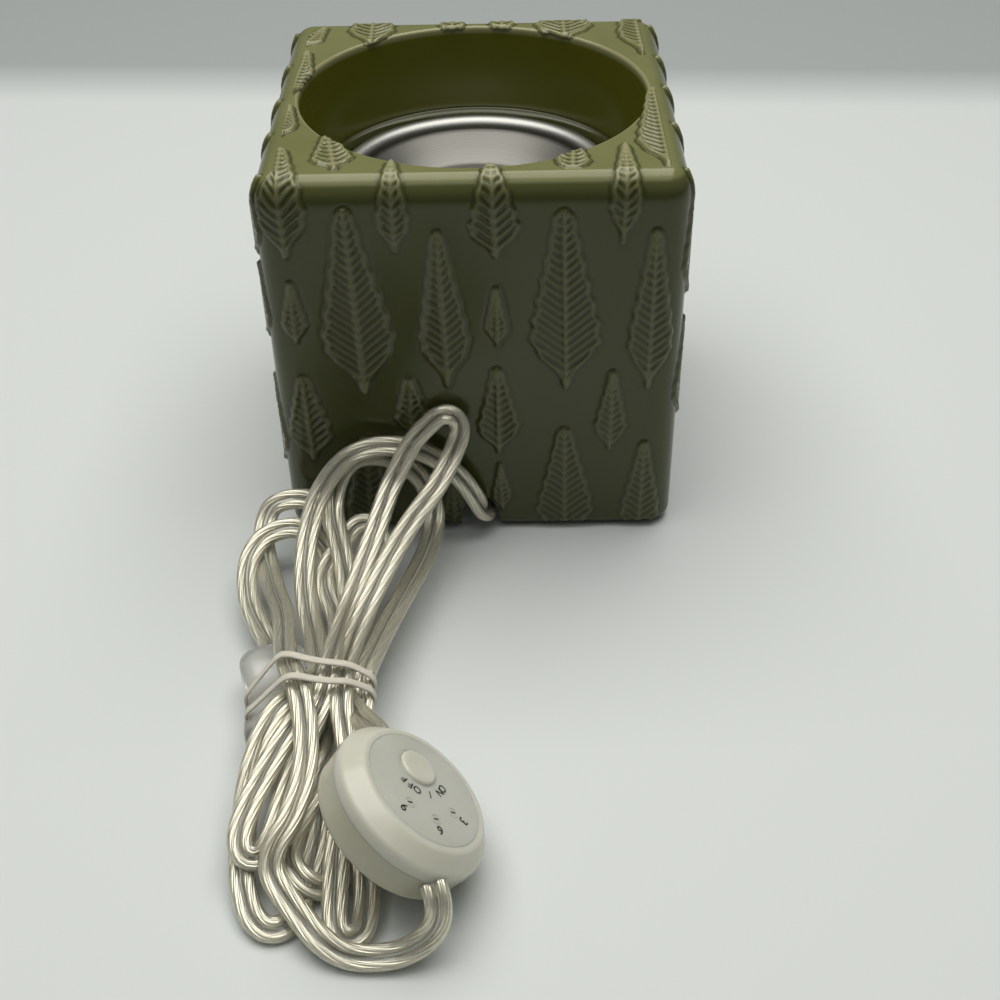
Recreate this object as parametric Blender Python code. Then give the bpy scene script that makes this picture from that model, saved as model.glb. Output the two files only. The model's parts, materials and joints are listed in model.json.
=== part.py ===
"""Electric wax warmer: a hollow ceramic cube with a loose wax dish over a small heater, a clear
twin cord with an inline timer, and the cord's tied hank with its plug. Metres, +Z up. The origin is
the bottom centre of the cube, and the side that the cord leaves faces -Y."""
import math

import bmesh
import bpy
from mathutils import Matrix, Vector

# Common clearances
GAP = 0.0003
HOLE_PLAY = 0.0005
CUT_OVER = 0.002

# Ceramic cube
CUBE_WIDTH = 0.125
CUBE_TOP = 0.1254
CUBE_BOTTOM = 0.0012
WALL = 0.005
CORNER_RADIUS = 0.008
TOP_EDGE_RADIUS = 0.0065
BOTTOM_EDGE_RADIUS = 0.003
TOP_THICKNESS = 0.006

# Well in the top and the ledge at its foot
WELL_RIM = 0.0098
WELL_RADIUS = CUBE_WIDTH / 2 - WELL_RIM
WELL_TAPER = 0.0022
LIP_RADIUS = 0.0025
LEDGE_TOP = 0.098
LEDGE_THICKNESS = 0.005
LEDGE_FILLET = 0.003
LEDGE_WIDTH = 0.0052
LEDGE_HOLE_RADIUS = WELL_RADIUS - LEDGE_WIDTH
WELL_WALL = 0.0058

# Corner lugs that take the base screws
LUG_SIZE = 0.016
LUG_HEIGHT = 0.010
LUG_INSET = 0.013
LUG_PITCH = CUBE_WIDTH - 2 * LUG_INSET

# Bell-shaped cord notch in the -Y wall
NOTCH_WIDTH = 0.013
NOTCH_HEIGHT = 0.0105

# Leaves cast in the skin, in millimetres on a cube of LEAF_SHEET: (s and v of the stem, s and v of the tip,
# width). On a side, s runs from its middle, and v up it and on over the top edge; on the top they are x, y.
MM = 0.001
LEAF_SHEET = (0.125, 0.1254)
FRONT_LEAVES = (
    (-34.3, 54.7, -36.3, 117.3, 20.5), (-9.0, 56.8, -10.3, 110.3, 14.3), (27.2, 55.4, 25.8, 116.2, 20.8),
    (52.1, 54.9, 52.4, 109.8, 13.4), (-52.4, 30.0, -53.2, 62.1, 13.8), (-20.4, 38.1, -21.0, 60.7, 10.0),
    (6.3, 31.2, 6.2, 63.8, 13.1), (41.2, 31.7, 41.4, 62.1, 10.0), (-36.5, -6.0, -35.5, 38.7, 15.0),
    (-9.0, -8.0, -8.7, 20.6, 10.5), (27.7, -6.0, 26.8, 41.0, 18.0), (51.8, -6.0, 52.2, 35.4, 12.5),
    (-53.6, 101.9, -55.0, 144.0, 14.5), (-22.3, 103.2, -22.7, 137.0, 9.4), (6.5, 101.1, 5.3, 134.0, 14.3),
    (42.7, 104.9, 44.1, 144.0, 8.8),
)
SIDE_LEAVES = (
    (-38.0, 60.0, -37.0, 116.0, 17.0), (-12.0, 54.0, -11.0, 112.0, 19.5), (16.0, 66.0, 16.5, 112.0, 11.0),
    (40.0, 56.0, 39.0, 117.0, 19.0), (-54.5, 84.0, -54.0, 116.0, 11.0), (-54.0, 40.0, -53.5, 76.0, 13.0),
    (-24.5, 34.0, -24.0, 58.0, 10.0), (3.0, 28.0, 3.5, 58.0, 13.0), (27.5, 36.0, 27.0, 60.0, 9.5),
    (54.5, 24.0, 54.0, 58.0, 12.0), (-40.0, -6.0, -39.0, 42.0, 17.0), (-14.0, -8.0, -13.5, 26.0, 12.0),
    (16.0, -8.0, 16.5, 24.0, 10.5), (37.0, -6.0, 36.0, 42.0, 17.5),
)
BACK_LEAVES = (
    (-29.0, 44.0, -28.0, 92.0, 20.0), (-3.0, 50.0, -2.0, 104.0, 15.0), (22.0, 46.0, 21.0, 110.0, 18.0),
    (46.0, 52.0, 45.5, 100.0, 13.0), (-51.5, 58.0, -51.0, 92.0, 12.0), (-46.0, 24.0, -45.5, 54.0, 13.0),
    (-14.5, 30.0, -14.0, 54.0, 9.5), (9.5, 24.0, 9.0, 52.0, 12.0), (34.0, 28.0, 33.5, 56.0, 12.5),
    (-30.0, -6.0, -29.0, 36.0, 17.0), (-4.0, -8.0, -3.5, 26.0, 11.0), (22.0, -6.0, 21.5, 36.0, 15.0),
    (47.0, -6.0, 46.5, 40.0, 14.0), (-30.3, 146.0, -30.3, 100.0, 18.5), (34.6, 147.0, 34.8, 102.0, 15.0),
    (-55.0, 158.0, -55.0, 100.0, 13.0), (-9.4, 137.0, -9.4, 108.0, 9.0), (7.6, 137.0, 7.6, 110.0, 9.0),
)
TOP_LEAVES = (
    (-56.4, -0.5, -54.6, 33.0, 10.5), (-38.4, -55.0, -42.5, -31.0, 11.5), (55.4, -52.0, 55.4, -4.0, 12.0),
)
LEAF_SHAPE = ((0.0, 0.14), (0.09, 0.30), (0.28, 1.0), (0.62, 0.68), (1.0, 0.22))
LEAF_HEIGHT = 0.0008
LEAF_RIB = 0.0003
LEAF_SINK = 0.0008
LEAF_EDGE = 0.0010
LEAF_EDGE_SHARE = 0.5
LEAF_LEAST_STEP = 0.02
LEAF_FOOT = 0.0046

# Base plate, feet and fasteners
PLATE_BOTTOM = 0.0032
PLATE_THICKNESS = 0.0015
PLATE_PLAY = 0.0005
PLATE_CORNER = 0.0045
VENT_LENGTH = 0.020
VENT_WIDTH = 0.003
VENT_PITCH = 0.009
VENT_X = 0.024
VENT_FIRST_Y = -0.009
VENT_COUNT = 4
FOOT_RADIUS = 0.006
FOOT_INSET = 0.0225
FOOT_PITCH = CUBE_WIDTH - 2 * FOOT_INSET
SCREW_RADIUS = 0.0015
SCREW_HEAD_RADIUS = 0.003
SCREW_HEAD_HEIGHT = 0.0016
SCREW_REACH = 0.007

# Heater: a plate on a stud, clamped with its element to a tray on three posts
DISH_FLOOR_BOTTOM = 0.0865
PLATE_INSET = 0.0145
PLATE_RADIUS = LEDGE_HOLE_RADIUS - PLATE_INSET
HOT_PLATE_THICKNESS = 0.004
STUD_RADIUS = 0.0022
STUD_TAIL = 0.006
MICA_INSET = 0.004
MICA_RADIUS = PLATE_RADIUS - MICA_INSET
MICA_THICKNESS = 0.0007
LAYER_STEP = 0.001
ELEMENT_RADIUS = MICA_RADIUS - LAYER_STEP
ELEMENT_THICKNESS = 0.0015
CLAMP_RADIUS = ELEMENT_RADIUS - LAYER_STEP
CLAMP_THICKNESS = 0.0012
BUSH_RADIUS = 0.006
BUSH_HEIGHT = 0.013
TRAY_PLAY = 0.0055
TRAY_RADIUS = LEDGE_HOLE_RADIUS - TRAY_PLAY
TRAY_SHEET = 0.0012
TRAY_WALL_HEIGHT = 0.018
TRAY_SLOT_RADIUS = 0.005
TRAY_SLOT_AT = (0.015, -0.57 * TRAY_RADIUS)
NUT_RADIUS = 0.0045
NUT_HEIGHT = 0.004
POST_INSET = 0.008
POST_CIRCLE = TRAY_RADIUS - POST_INSET
POST_RADIUS = 0.003
POST_STUD_RADIUS = 0.0015
POST_NUT_RADIUS = 0.0032
POST_NUT_HEIGHT = 0.0026
POST_COUNT = 3
POST_FIRST_ANGLE = math.radians(90)
FUSE_RADIUS = 0.002
FUSE_LENGTH = 0.012
FUSE_INSET = 0.012
FUSE_OFFSET = CLAMP_RADIUS - FUSE_INSET
CLIP_SHEET = 0.0008
CLIP_WIDTH = 0.005
CLIP_EAR = 0.004
LEAD_RADIUS = 0.0011
TAIL_RADIUS = 0.0007
LEAD_STRAIGHT = 0.003
LEAD_RISE = 0.012
LIVE_BOW = (0.010, 0.020)
NEUTRAL_BOW = (0.002, 0.022)
NEUTRAL_TURN = 0.008
TAB_ANGLE = math.radians(60)

# Loose wax dish
DISH_SHEET = 0.0009
DISH_PLAY = 0.0019
DISH_ROLL_WIDTH = 0.0066
DISH_FLARE = 0.0135
DISH_RIM_RADIUS = LEDGE_HOLE_RADIUS - DISH_PLAY
DISH_THROAT_RADIUS = DISH_RIM_RADIUS - DISH_ROLL_WIDTH
DISH_FLOOR_RADIUS = DISH_THROAT_RADIUS - DISH_FLARE
DISH_RIM_TOP = 0.0992
DISH_THROAT_TOP = 0.0962
DISH_RIM_DROP = 0.003

# Flat twin cord
CORD_TUBE_RADIUS = 0.0025
CORD_BEVEL_RESOLUTION = 3
CLAMP_BLOCK = (0.024, 0.008)
CLAMP_ROOF = 0.0022
CLAMP_SCREW_PITCH = 0.0165
CLAMP_INSET = 0.0265
CLAMP_Y = CLAMP_INSET - CUBE_WIDTH / 2
CRIMP_RADIUS = 0.0021
CRIMP_LENGTH = 0.014
CRIMP_PITCH = 0.0054

# Inline timer, a round puck that leans on the hank; its centre's y is from the cube's -Y face
TIMER_CENTRE = (-0.0176, -0.1332, 0.0219)
TIMER_TILT = math.radians(42)
TIMER_HEADING = math.radians(13)
TIMER_SPIN = math.radians(97.6)
TIMER_RADIUS = 0.0227
TIMER_WALL = 0.0018
TIMER_LOWER_DEPTH = 0.0092
TIMER_UPPER_HEIGHT = 0.0075
TIMER_BAND_HEIGHT = 0.0042
TIMER_FACE_RADIUS = 0.0174
TIMER_EDGE_RADIUS = 0.003
LABEL_THICKNESS = 0.0004
LABEL_PLAY = 0.0004
BUTTON_RADIUS = 0.0053
BUTTON_AT = 0.0065
BUTTON_PROUD = 0.0011
BUTTON_FLANGE = 0.001
BUTTON_FLANGE_THICKNESS = 0.0009
BUTTON_TRAVEL = 0.0007
LED_CIRCLE = 0.0091
LED_RADIUS = 0.0011
LED_ANGLES = (128, 180, 232)
BOARD_RADIUS = 0.0185
BOARD_THICKNESS = 0.0016
BOARD_TOP = -0.0012
TACT_SIZE = 0.006
SMALL_CORNER = 0.0006
TACT_PLUNGER_RADIUS = 0.0017
RELAY_SIZE = (0.012, 0.009, 0.0038)
RELAY_AT = (0.004, -0.0065)
CAPACITOR_RADIUS = 0.002
CAPACITOR_LENGTH = 0.009
CAPACITOR_AT = (0.002, 0.0085)
TIMER_SCREW_AT = 0.0150
TIMER_BOSS_RADIUS = 0.003
CORD_SLOT_WIDTH = 0.0062

# Cord routes, chosen by eye; every y from here on is the distance from the cube's -Y face
LEAD_ROUTE = (
    (0.0, 0.0320, 0.0076), (0.0, 0.0225, 0.0076), (0.0005, 0.0105, 0.0066), (0.0015, 0.0005, 0.006),
    (0.001, -0.0050, 0.011), (-0.002, -0.0060, 0.018), (-0.007, -0.0060, 0.027), (-0.017, -0.0060, 0.037),
    (-0.030, -0.0063, 0.0415), (-0.041, -0.0065, 0.039), (-0.046, -0.0067, 0.0345),
    (-0.0468, -0.0105, 0.0330),
)
TO_TIMER_ROUTE = (
    (-0.0275, -0.0887, 0.0115), (-0.0276, -0.0930, 0.0128), (-0.0275, -0.0995, 0.0165),
    (-0.0263, -0.1065, 0.0215), (-0.0250, -0.1113, 0.0238),
)
FROM_TIMER_ROUTE = (
    (-0.0102, -0.1551, 0.0198), (-0.0090, -0.1587, 0.0182), (-0.0092, -0.1613, 0.0138),
    (-0.0120, -0.1625, 0.0085), (-0.0170, -0.1630, 0.0048), (-0.0235, -0.1633, 0.0034),
    (-0.0300, -0.1627, 0.0032),
)

# Hank: (y, centre x, centre z, half width, half height) of its outer shape, from the wall outwards
HANK_SECTIONS = (
    (-0.0121, -0.036, 0.0265, 0.031, 0.0170),
    (-0.0275, -0.040, 0.0190, 0.030, 0.0125),
    (-0.0475, -0.046, 0.0145, 0.023, 0.0105),
    (-0.0675, -0.0495, 0.0125, 0.0195, 0.0100),
    (-0.0835, -0.0500, 0.0120, 0.0195, 0.0100),
    (-0.1025, -0.0490, 0.0115, 0.0180, 0.0100),
    (-0.1275, -0.0490, 0.0095, 0.0170, 0.0085),
    (-0.1475, -0.0480, 0.0075, 0.0160, 0.0065),
    (-0.1590, -0.0460, 0.0060, 0.0120, 0.0045),
)
HANK_SIDES = 16
HANK_SQUARENESS = 0.72

# Rubber band round the hank's waist
BAND_Y = -0.0835
BAND_WIDTH = 0.005
BAND_THICKNESS = 0.0009
BAND_HALF = (0.0212, 0.0113)
BAND_CENTRE = (-0.0500, 0.0125)
BAND_CORNER = 0.006

# Two-blade plug under the hank
PLUG_AT = (-0.0605, -0.0650, 0.0090)
PLUG_TURN = math.radians(11)
PLUG_LENGTH = 0.034
PLUG_NECK = 0.008
PLUG_SHOULDER = 0.020
PLUG_WAIST = 0.0165
PLUG_FACE = 0.0205
PLUG_THICKNESS = 0.0125
PLUG_EDGE = 0.002
BLADE_PITCH = 0.0127
BLADE_THICKNESS = 0.0015
BLADE_WIDTH = 0.0063
BLADE_LENGTH = 0.016
BAY_PLAY = 0.0006

ROUND_SIDES = 48
SMALL_SIDES = 16
ARC_STEPS = 5

# Levels that follow from the sizes above
CAVITY_HALF = CUBE_WIDTH / 2 - WALL
FRONT = -CUBE_WIDTH / 2
LEDGE_BOTTOM = LEDGE_TOP - LEDGE_THICKNESS
PLATE_TOP = PLATE_BOTTOM + PLATE_THICKNESS
LUG_BOTTOM = PLATE_TOP + GAP
HOT_PLATE_TOP = DISH_FLOOR_BOTTOM - GAP
HOT_PLATE_BOTTOM = HOT_PLATE_TOP - HOT_PLATE_THICKNESS
MICA_UPPER_TOP = HOT_PLATE_BOTTOM - GAP
ELEMENT_TOP = MICA_UPPER_TOP - MICA_THICKNESS - GAP
MICA_LOWER_TOP = ELEMENT_TOP - ELEMENT_THICKNESS - GAP
CLAMP_TOP = MICA_LOWER_TOP - MICA_THICKNESS - GAP
CLAMP_BOTTOM = CLAMP_TOP - CLAMP_THICKNESS
BUSH_TOP = CLAMP_BOTTOM - GAP
TRAY_FLOOR_TOP = BUSH_TOP - BUSH_HEIGHT - GAP
TRAY_FLOOR_BOTTOM = TRAY_FLOOR_TOP - TRAY_SHEET
TUBE_Z = LEAD_ROUTE[0][2]
TIMER_FACE_BOTTOM = TIMER_UPPER_HEIGHT - TIMER_WALL


def clear_scene():
    for obj in list(bpy.data.objects):
        bpy.data.objects.remove(obj, do_unlink=True)


def material(name, colour, roughness, metallic=0.0):
    made = bpy.data.materials.new(name)
    made.use_nodes = True
    shader = made.node_tree.nodes["Principled BSDF"]
    shader.inputs["Base Color"].default_value = (*colour, 1.0)
    shader.inputs["Roughness"].default_value = roughness
    shader.inputs["Metallic"].default_value = metallic
    return made


def place(obj, parent=None):
    bpy.context.scene.collection.objects.link(obj)
    obj.parent = parent
    return obj


def finish(name, bm, look, parent=None, at=(0, 0, 0), smooth_angle=35):
    bmesh.ops.recalc_face_normals(bm, faces=bm.faces)
    mesh = bpy.data.meshes.new(name)
    bm.to_mesh(mesh)
    bm.free()
    mesh.materials.append(look)
    mesh.shade_smooth()
    mesh.set_sharp_from_angle(angle=math.radians(smooth_angle))
    obj = place(bpy.data.objects.new(name, mesh), parent)
    obj.location = at
    return obj


def bridge(bm, lower, upper):
    count = len(lower)
    for i in range(count):
        j = (i + 1) % count
        bm.faces.new((lower[i], lower[j], upper[j], upper[i]))


def add_loft(bm, loops):
    rings = [[bm.verts.new(p) for p in loop] for loop in loops]
    for lower, upper in zip(rings, rings[1:]):
        bridge(bm, lower, upper)
    bm.faces.new(reversed(rings[0]))
    bm.faces.new(rings[-1])


def add_prism(bm, outline, low, high):
    add_loft(bm, [[(x, y, z) for x, y in outline] for z in (low, high)])


def add_turned(bm, profile, sides=ROUND_SIDES, centre=(0, 0)):
    """A profile of (radius, z). One that starts and ends on the axis is a full body, any other a ring."""
    closed = profile[0][0] > 0
    rings = []
    for radius, z in profile:
        count = sides if radius > 0 else 1
        angles = [2 * math.pi * (i + 0.5) / count for i in range(count)]
        rings.append([bm.verts.new((centre[0] + radius * math.cos(a), centre[1] + radius * math.sin(a), z))
                      for a in angles])
    pairs = list(zip(rings, rings[1:]))
    if closed:
        pairs.append((rings[-1], rings[0]))
    for lower, upper in pairs:
        for i in range(sides):
            j = (i + 1) % sides
            below = [lower[i % len(lower)], lower[j % len(lower)]]
            above = [upper[j % len(upper)], upper[i % len(upper)]]
            bm.faces.new(list(dict.fromkeys(below + above)))


def add_disc(bm, radius, low, high, sides=SMALL_SIDES, centre=(0, 0)):
    add_turned(bm, [(0, high), (radius, high), (radius, low), (0, low)], sides, centre)


def add_washer(bm, outer, inner, low, high, sides=ROUND_SIDES, centre=(0, 0)):
    add_turned(bm, [(inner, high), (outer, high), (outer, low), (inner, low)], sides, centre)


def add_nut(bm, radius, thread, low, height):
    """Hexagonal nut; its bore is a hexagon too, widened so that its flats clear the thread."""
    add_washer(bm, radius, (thread + GAP) / math.cos(math.pi / 6), low, low + height, 6)


def arc(centre, radius, start, end, steps=ARC_STEPS):
    angles = [math.radians(start + (end - start) * i / steps) for i in range(steps + 1)]
    return [(centre[0] + radius * math.cos(a), centre[1] + radius * math.sin(a)) for a in angles]


def rounded_rectangle(half_x, half_y, radius, centre=(0, 0), steps=ARC_STEPS):
    outline = []
    for sx, sy, start in ((1, 1, 0), (-1, 1, 90), (-1, -1, 180), (1, -1, 270)):
        corner = (centre[0] + sx * (half_x - radius), centre[1] + sy * (half_y - radius))
        outline += arc(corner, radius, start, start + 90, steps)
    return outline


def cutter(name, bm, parent=None, at=(0, 0, 0)):
    bmesh.ops.recalc_face_normals(bm, faces=bm.faces)
    mesh = bpy.data.meshes.new(name)
    bm.to_mesh(mesh)
    bm.free()
    obj = place(bpy.data.objects.new(name, mesh), parent)
    obj.location = at
    obj.hide_render = True
    obj.display_type = "WIRE"
    return obj


def boolean(target, tool, operation="DIFFERENCE"):
    modifier = target.modifiers.new(tool.name, "BOOLEAN")
    modifier.operation = operation
    modifier.solver = "EXACT"
    modifier.object = tool


def from_front(point):
    """A point whose y is given from the cube's -Y face, in the part's own frame."""
    x, y, z = point
    return (x, FRONT + y, z)


def smooth_points(points, count):
    """Points spread evenly along a Catmull-Rom curve through the given ones."""
    given = [Vector(p) for p in points]
    ends = [2 * given[0] - given[1]] + given + [2 * given[-1] - given[-2]]
    fine = []
    for a, b, c, d in zip(ends, ends[1:], ends[2:], ends[3:]):
        for i in range(12):
            t = i / 12
            fine.append(0.5 * (2 * b + (c - a) * t + (2 * a - 5 * b + 4 * c - d) * t * t
                               + (3 * b - a - 3 * c + d) * t ** 3))
    fine.append(given[-1])
    lengths = [0.0]
    for p, q in zip(fine, fine[1:]):
        lengths.append(lengths[-1] + (q - p).length)
    even = []
    step = 0
    for i in range(count):
        want = lengths[-1] * i / (count - 1)
        while step < len(fine) - 2 and lengths[step + 1] < want:
            step += 1
        share = (want - lengths[step]) / (lengths[step + 1] - lengths[step])
        even.append(fine[step].lerp(fine[step + 1], share))
    return even


def tube(name, points, radius, count, look, resolution=2):
    curve = bpy.data.curves.new(name, "CURVE")
    curve.dimensions = "3D"
    curve.bevel_depth = radius
    curve.bevel_resolution = resolution
    curve.use_fill_caps = True
    spline = curve.splines.new("POLY")
    route = smooth_points(points, count)
    spline.points.add(len(route) - 1)
    for point, place_at in zip(spline.points, route):
        point.co = (*place_at, 1.0)
    spline.use_smooth = True
    curve.materials.append(look)
    return place(bpy.data.objects.new(name, curve))


def square_places(pitch):
    return [(sx * pitch / 2, sy * pitch / 2) for sy in (-1, 1) for sx in (-1, 1)]


def post_places():
    angles = [POST_FIRST_ANGLE + 2 * math.pi * i / POST_COUNT for i in range(POST_COUNT)]
    return [(POST_CIRCLE * math.cos(a), POST_CIRCLE * math.sin(a)) for a in angles]


def clamp_screw_places():
    return [(side * CLAMP_SCREW_PITCH / 2, CLAMP_Y) for side in (-1, 1)]


def cube_loops():
    """Rounded outlines of the cube from its bottom edge to its top edge."""
    half = CUBE_WIDTH / 2
    steps = arc((BOTTOM_EDGE_RADIUS, CUBE_BOTTOM + BOTTOM_EDGE_RADIUS), BOTTOM_EDGE_RADIUS, 270, 180, 3)
    steps += arc((TOP_EDGE_RADIUS, CUBE_TOP - TOP_EDGE_RADIUS), TOP_EDGE_RADIUS, 180, 90)
    loops = []
    for inset, z in steps:
        outline = rounded_rectangle(half - inset, half - inset, CORNER_RADIUS - inset)
        loops.append([(x, y, z) for x, y in outline])
    return loops


def well_profile():
    """The well's hollow: lip, tapered wall, fillet, ledge and the hole through the ledge."""
    foot = WELL_RADIUS - WELL_TAPER
    profile = [(0, CUBE_TOP + CUT_OVER), (WELL_RADIUS + LIP_RADIUS + CUT_OVER, CUBE_TOP + CUT_OVER)]
    profile += arc((WELL_RADIUS + LIP_RADIUS, CUBE_TOP - LIP_RADIUS), LIP_RADIUS, 90, 180)
    profile += arc((foot - LEDGE_FILLET, LEDGE_TOP + LEDGE_FILLET), LEDGE_FILLET, 0, -90)
    edge = LEDGE_HOLE_RADIUS + LEDGE_FILLET / 3
    if edge < foot - LEDGE_FILLET:
        profile.append((edge, LEDGE_TOP))
    profile += [(LEDGE_HOLE_RADIUS, LEDGE_TOP - LEDGE_FILLET / 3),
                (LEDGE_HOLE_RADIUS, LEDGE_BOTTOM - CUT_OVER), (0, LEDGE_BOTTOM - CUT_OVER)]
    return profile


def pocket_outline():
    """One corner pocket between the square walls and the well's round wall."""
    reach = WELL_RADIUS + WELL_WALL
    edge = reach * math.sin(math.radians(25))
    corner = WALL * 0.8
    outline = [(CAVITY_HALF, edge), (CAVITY_HALF, CAVITY_HALF - corner),
               (CAVITY_HALF - corner, CAVITY_HALF), (edge, CAVITY_HALF)]
    return outline + arc((0, 0), reach, 62, 28)


def notch_outline():
    """Bell outline of the cord notch in X and Z, from the floor up."""
    half = NOTCH_WIDTH / 2
    crown = half * 0.42
    foot = CUBE_BOTTOM - CUT_OVER
    shoulder = CUBE_BOTTOM + NOTCH_HEIGHT - crown
    right = [(half, foot), (half * 0.93, CUBE_BOTTOM + NOTCH_HEIGHT * 0.25),
             (half * 0.62, shoulder - crown * 0.35)]
    dome = arc((0, shoulder), crown, 0, 180)
    return right + dome + [(-x, z) for x, z in reversed(right)]


def skin_point(side, s, v, out):
    """A point on the cube's skin, or out from it, at s along a side and v up it and over the top edge."""
    flat = CUBE_WIDTH / 2 - CORNER_RADIUS
    turn = max(0, abs(s) - flat) / CORNER_RADIUS
    core_x = max(-flat, min(flat, s))
    way_x, way_y = math.copysign(math.sin(turn), s), -math.cos(turn)
    straight = CUBE_TOP - TOP_EDGE_RADIUS
    lean = max(0, min(math.pi / 2, (v - straight) / TOP_EDGE_RADIUS))
    inward = max(0, v - straight - TOP_EDGE_RADIUS * math.pi / 2)
    reach = CORNER_RADIUS - TOP_EDGE_RADIUS + (TOP_EDGE_RADIUS + out) * math.cos(lean)
    z = min(v, straight) + (TOP_EDGE_RADIUS + out) * math.sin(lean)
    point = Vector((core_x + way_x * reach, -flat + way_y * reach + inward, z))
    return Matrix.Rotation(side * math.pi / 2, 3, "Z") @ point


def leaf_shares(start_v, end_v):
    """Places along a leaf, from 0 at its stem: those of its shape, and of its bends over the top edge."""
    shares = [share for share, width in LEAF_SHAPE]
    for step in range(ARC_STEPS + 1):
        level = CUBE_TOP - TOP_EDGE_RADIUS + TOP_EDGE_RADIUS * math.pi / 2 * step / ARC_STEPS
        shares.append((level - start_v) / (end_v - start_v))
    shares.append((LEAF_FOOT - start_v) / (end_v - start_v))
    kept = []
    for share in sorted(s for s in shares if 0 <= s <= 1):
        level = start_v + share * (end_v - start_v)
        if level >= LEAF_FOOT - GAP and (not kept or share - kept[-1] > LEAF_LEAST_STEP):
            kept.append(share)
    return kept


def leaf_width(share):
    for (low, low_width), (high, high_width) in zip(LEAF_SHAPE, LEAF_SHAPE[1:]):
        if share <= high:
            return low_width + (high_width - low_width) * (share - low) / (high - low)
    return LEAF_SHAPE[-1][1]


def add_leaf(bm, leaf, shares, point_at):
    """A leaf with a raised rib, sunk into the skin; point_at gives the point at s, v and out."""
    s0, v0, s1, v1, width = leaf
    loops = []
    for share in shares:
        s, v = s0 + share * (s1 - s0), v0 + share * (v1 - v0)
        half = width / 2 * leaf_width(share)
        field = half - min(LEAF_EDGE, half * LEAF_EDGE_SHARE)
        loops.append([point_at(s + across, v, out) for across, out in
                      ((-half, -LEAF_SINK), (half, -LEAF_SINK), (field, LEAF_HEIGHT),
                       (0, LEAF_HEIGHT + LEAF_RIB), (-field, LEAF_HEIGHT))])
    add_loft(bm, loops)


def sized_leaf(leaf, up):
    """A leaf in metres on the cube's own size; up is the share by which its v grows."""
    s0, v0, s1, v1, width = (value * MM for value in leaf)
    across = CUBE_WIDTH / LEAF_SHEET[0]
    return s0 * across, v0 * up, s1 * across, v1 * up, width * across


def leaf_relief():
    """All the cast leaves, as one tool."""
    bm = bmesh.new()
    up = CUBE_TOP / LEAF_SHEET[1]
    for side, leaves in enumerate((FRONT_LEAVES, SIDE_LEAVES, BACK_LEAVES, SIDE_LEAVES)):
        for leaf in leaves:
            sized = sized_leaf(leaf, up)
            add_leaf(bm, sized, leaf_shares(sized[1], sized[3]),
                     lambda s, v, out, side=side: skin_point(side, s, v, out))
    for leaf in TOP_LEAVES:
        sized = sized_leaf(leaf, CUBE_WIDTH / LEAF_SHEET[0])
        add_leaf(bm, sized, [share for share, width in LEAF_SHAPE],
                 lambda s, v, out: Vector((s, v, CUBE_TOP + out)))
    return cutter("leaf_relief", bm)


def ceramic_body(look):
    bm = bmesh.new()
    add_loft(bm, cube_loops())
    body = finish("ceramic_body", bm, look)
    boolean(body, leaf_relief(), "UNION")

    bm = bmesh.new()
    cavity = rounded_rectangle(CAVITY_HALF, CAVITY_HALF, WALL * 0.8, steps=2)
    add_prism(bm, cavity, CUBE_BOTTOM - CUT_OVER, LEDGE_BOTTOM)
    boolean(body, cutter("cavity", bm))

    bm = bmesh.new()
    half_lug = LUG_SIZE / 2 + WALL / 4
    for centre in square_places(2 * (CAVITY_HALF - LUG_SIZE / 2 + WALL / 4)):
        add_prism(bm, rounded_rectangle(half_lug, half_lug, WALL / 2, centre, 2),
                  LUG_BOTTOM, LUG_BOTTOM + LUG_HEIGHT)
    boolean(body, cutter("corner_lugs", bm), "UNION")

    bm = bmesh.new()
    for spot in square_places(LUG_PITCH):
        add_disc(bm, SCREW_RADIUS + GAP, LUG_BOTTOM - CUT_OVER, LUG_BOTTOM + SCREW_REACH + GAP, centre=spot)
    boolean(body, cutter("lug_holes", bm))

    bm = bmesh.new()
    for sx, sy in square_places(2):
        outline = [(sx * x, sy * y) for x, y in pocket_outline()]
        if sx * sy < 0:
            outline.reverse()
        add_prism(bm, outline, LEDGE_BOTTOM - CUT_OVER, CUBE_TOP - TOP_THICKNESS)
    boolean(body, cutter("corner_pockets", bm))

    bm = bmesh.new()
    add_turned(bm, well_profile(), 64)
    boolean(body, cutter("well", bm))

    bm = bmesh.new()
    outline = notch_outline()
    add_loft(bm, [[(x, y, z) for x, z in outline] for y in (FRONT - CUT_OVER, FRONT + WALL + CUT_OVER)])
    boolean(body, cutter("cord_notch", bm))


def add_screw(bm, tip, seat, head_radius, head_height):
    """A screw driven up from below: its head's upper face at seat, its shank's end at tip."""
    low = seat - head_height
    add_turned(bm, [(0, tip), (SCREW_RADIUS, tip), (SCREW_RADIUS, seat), (head_radius, seat),
                    (head_radius * 0.8, low), (0, low)], SMALL_SIDES)


def plate_screws(name, spots, tip, look):
    for number, (x, y) in enumerate(spots, 1):
        bm = bmesh.new()
        add_screw(bm, tip, PLATE_BOTTOM - GAP, SCREW_HEAD_RADIUS, SCREW_HEAD_HEIGHT)
        finish(f"{name}_{number}", bm, look, at=(x, y, 0))


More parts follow.
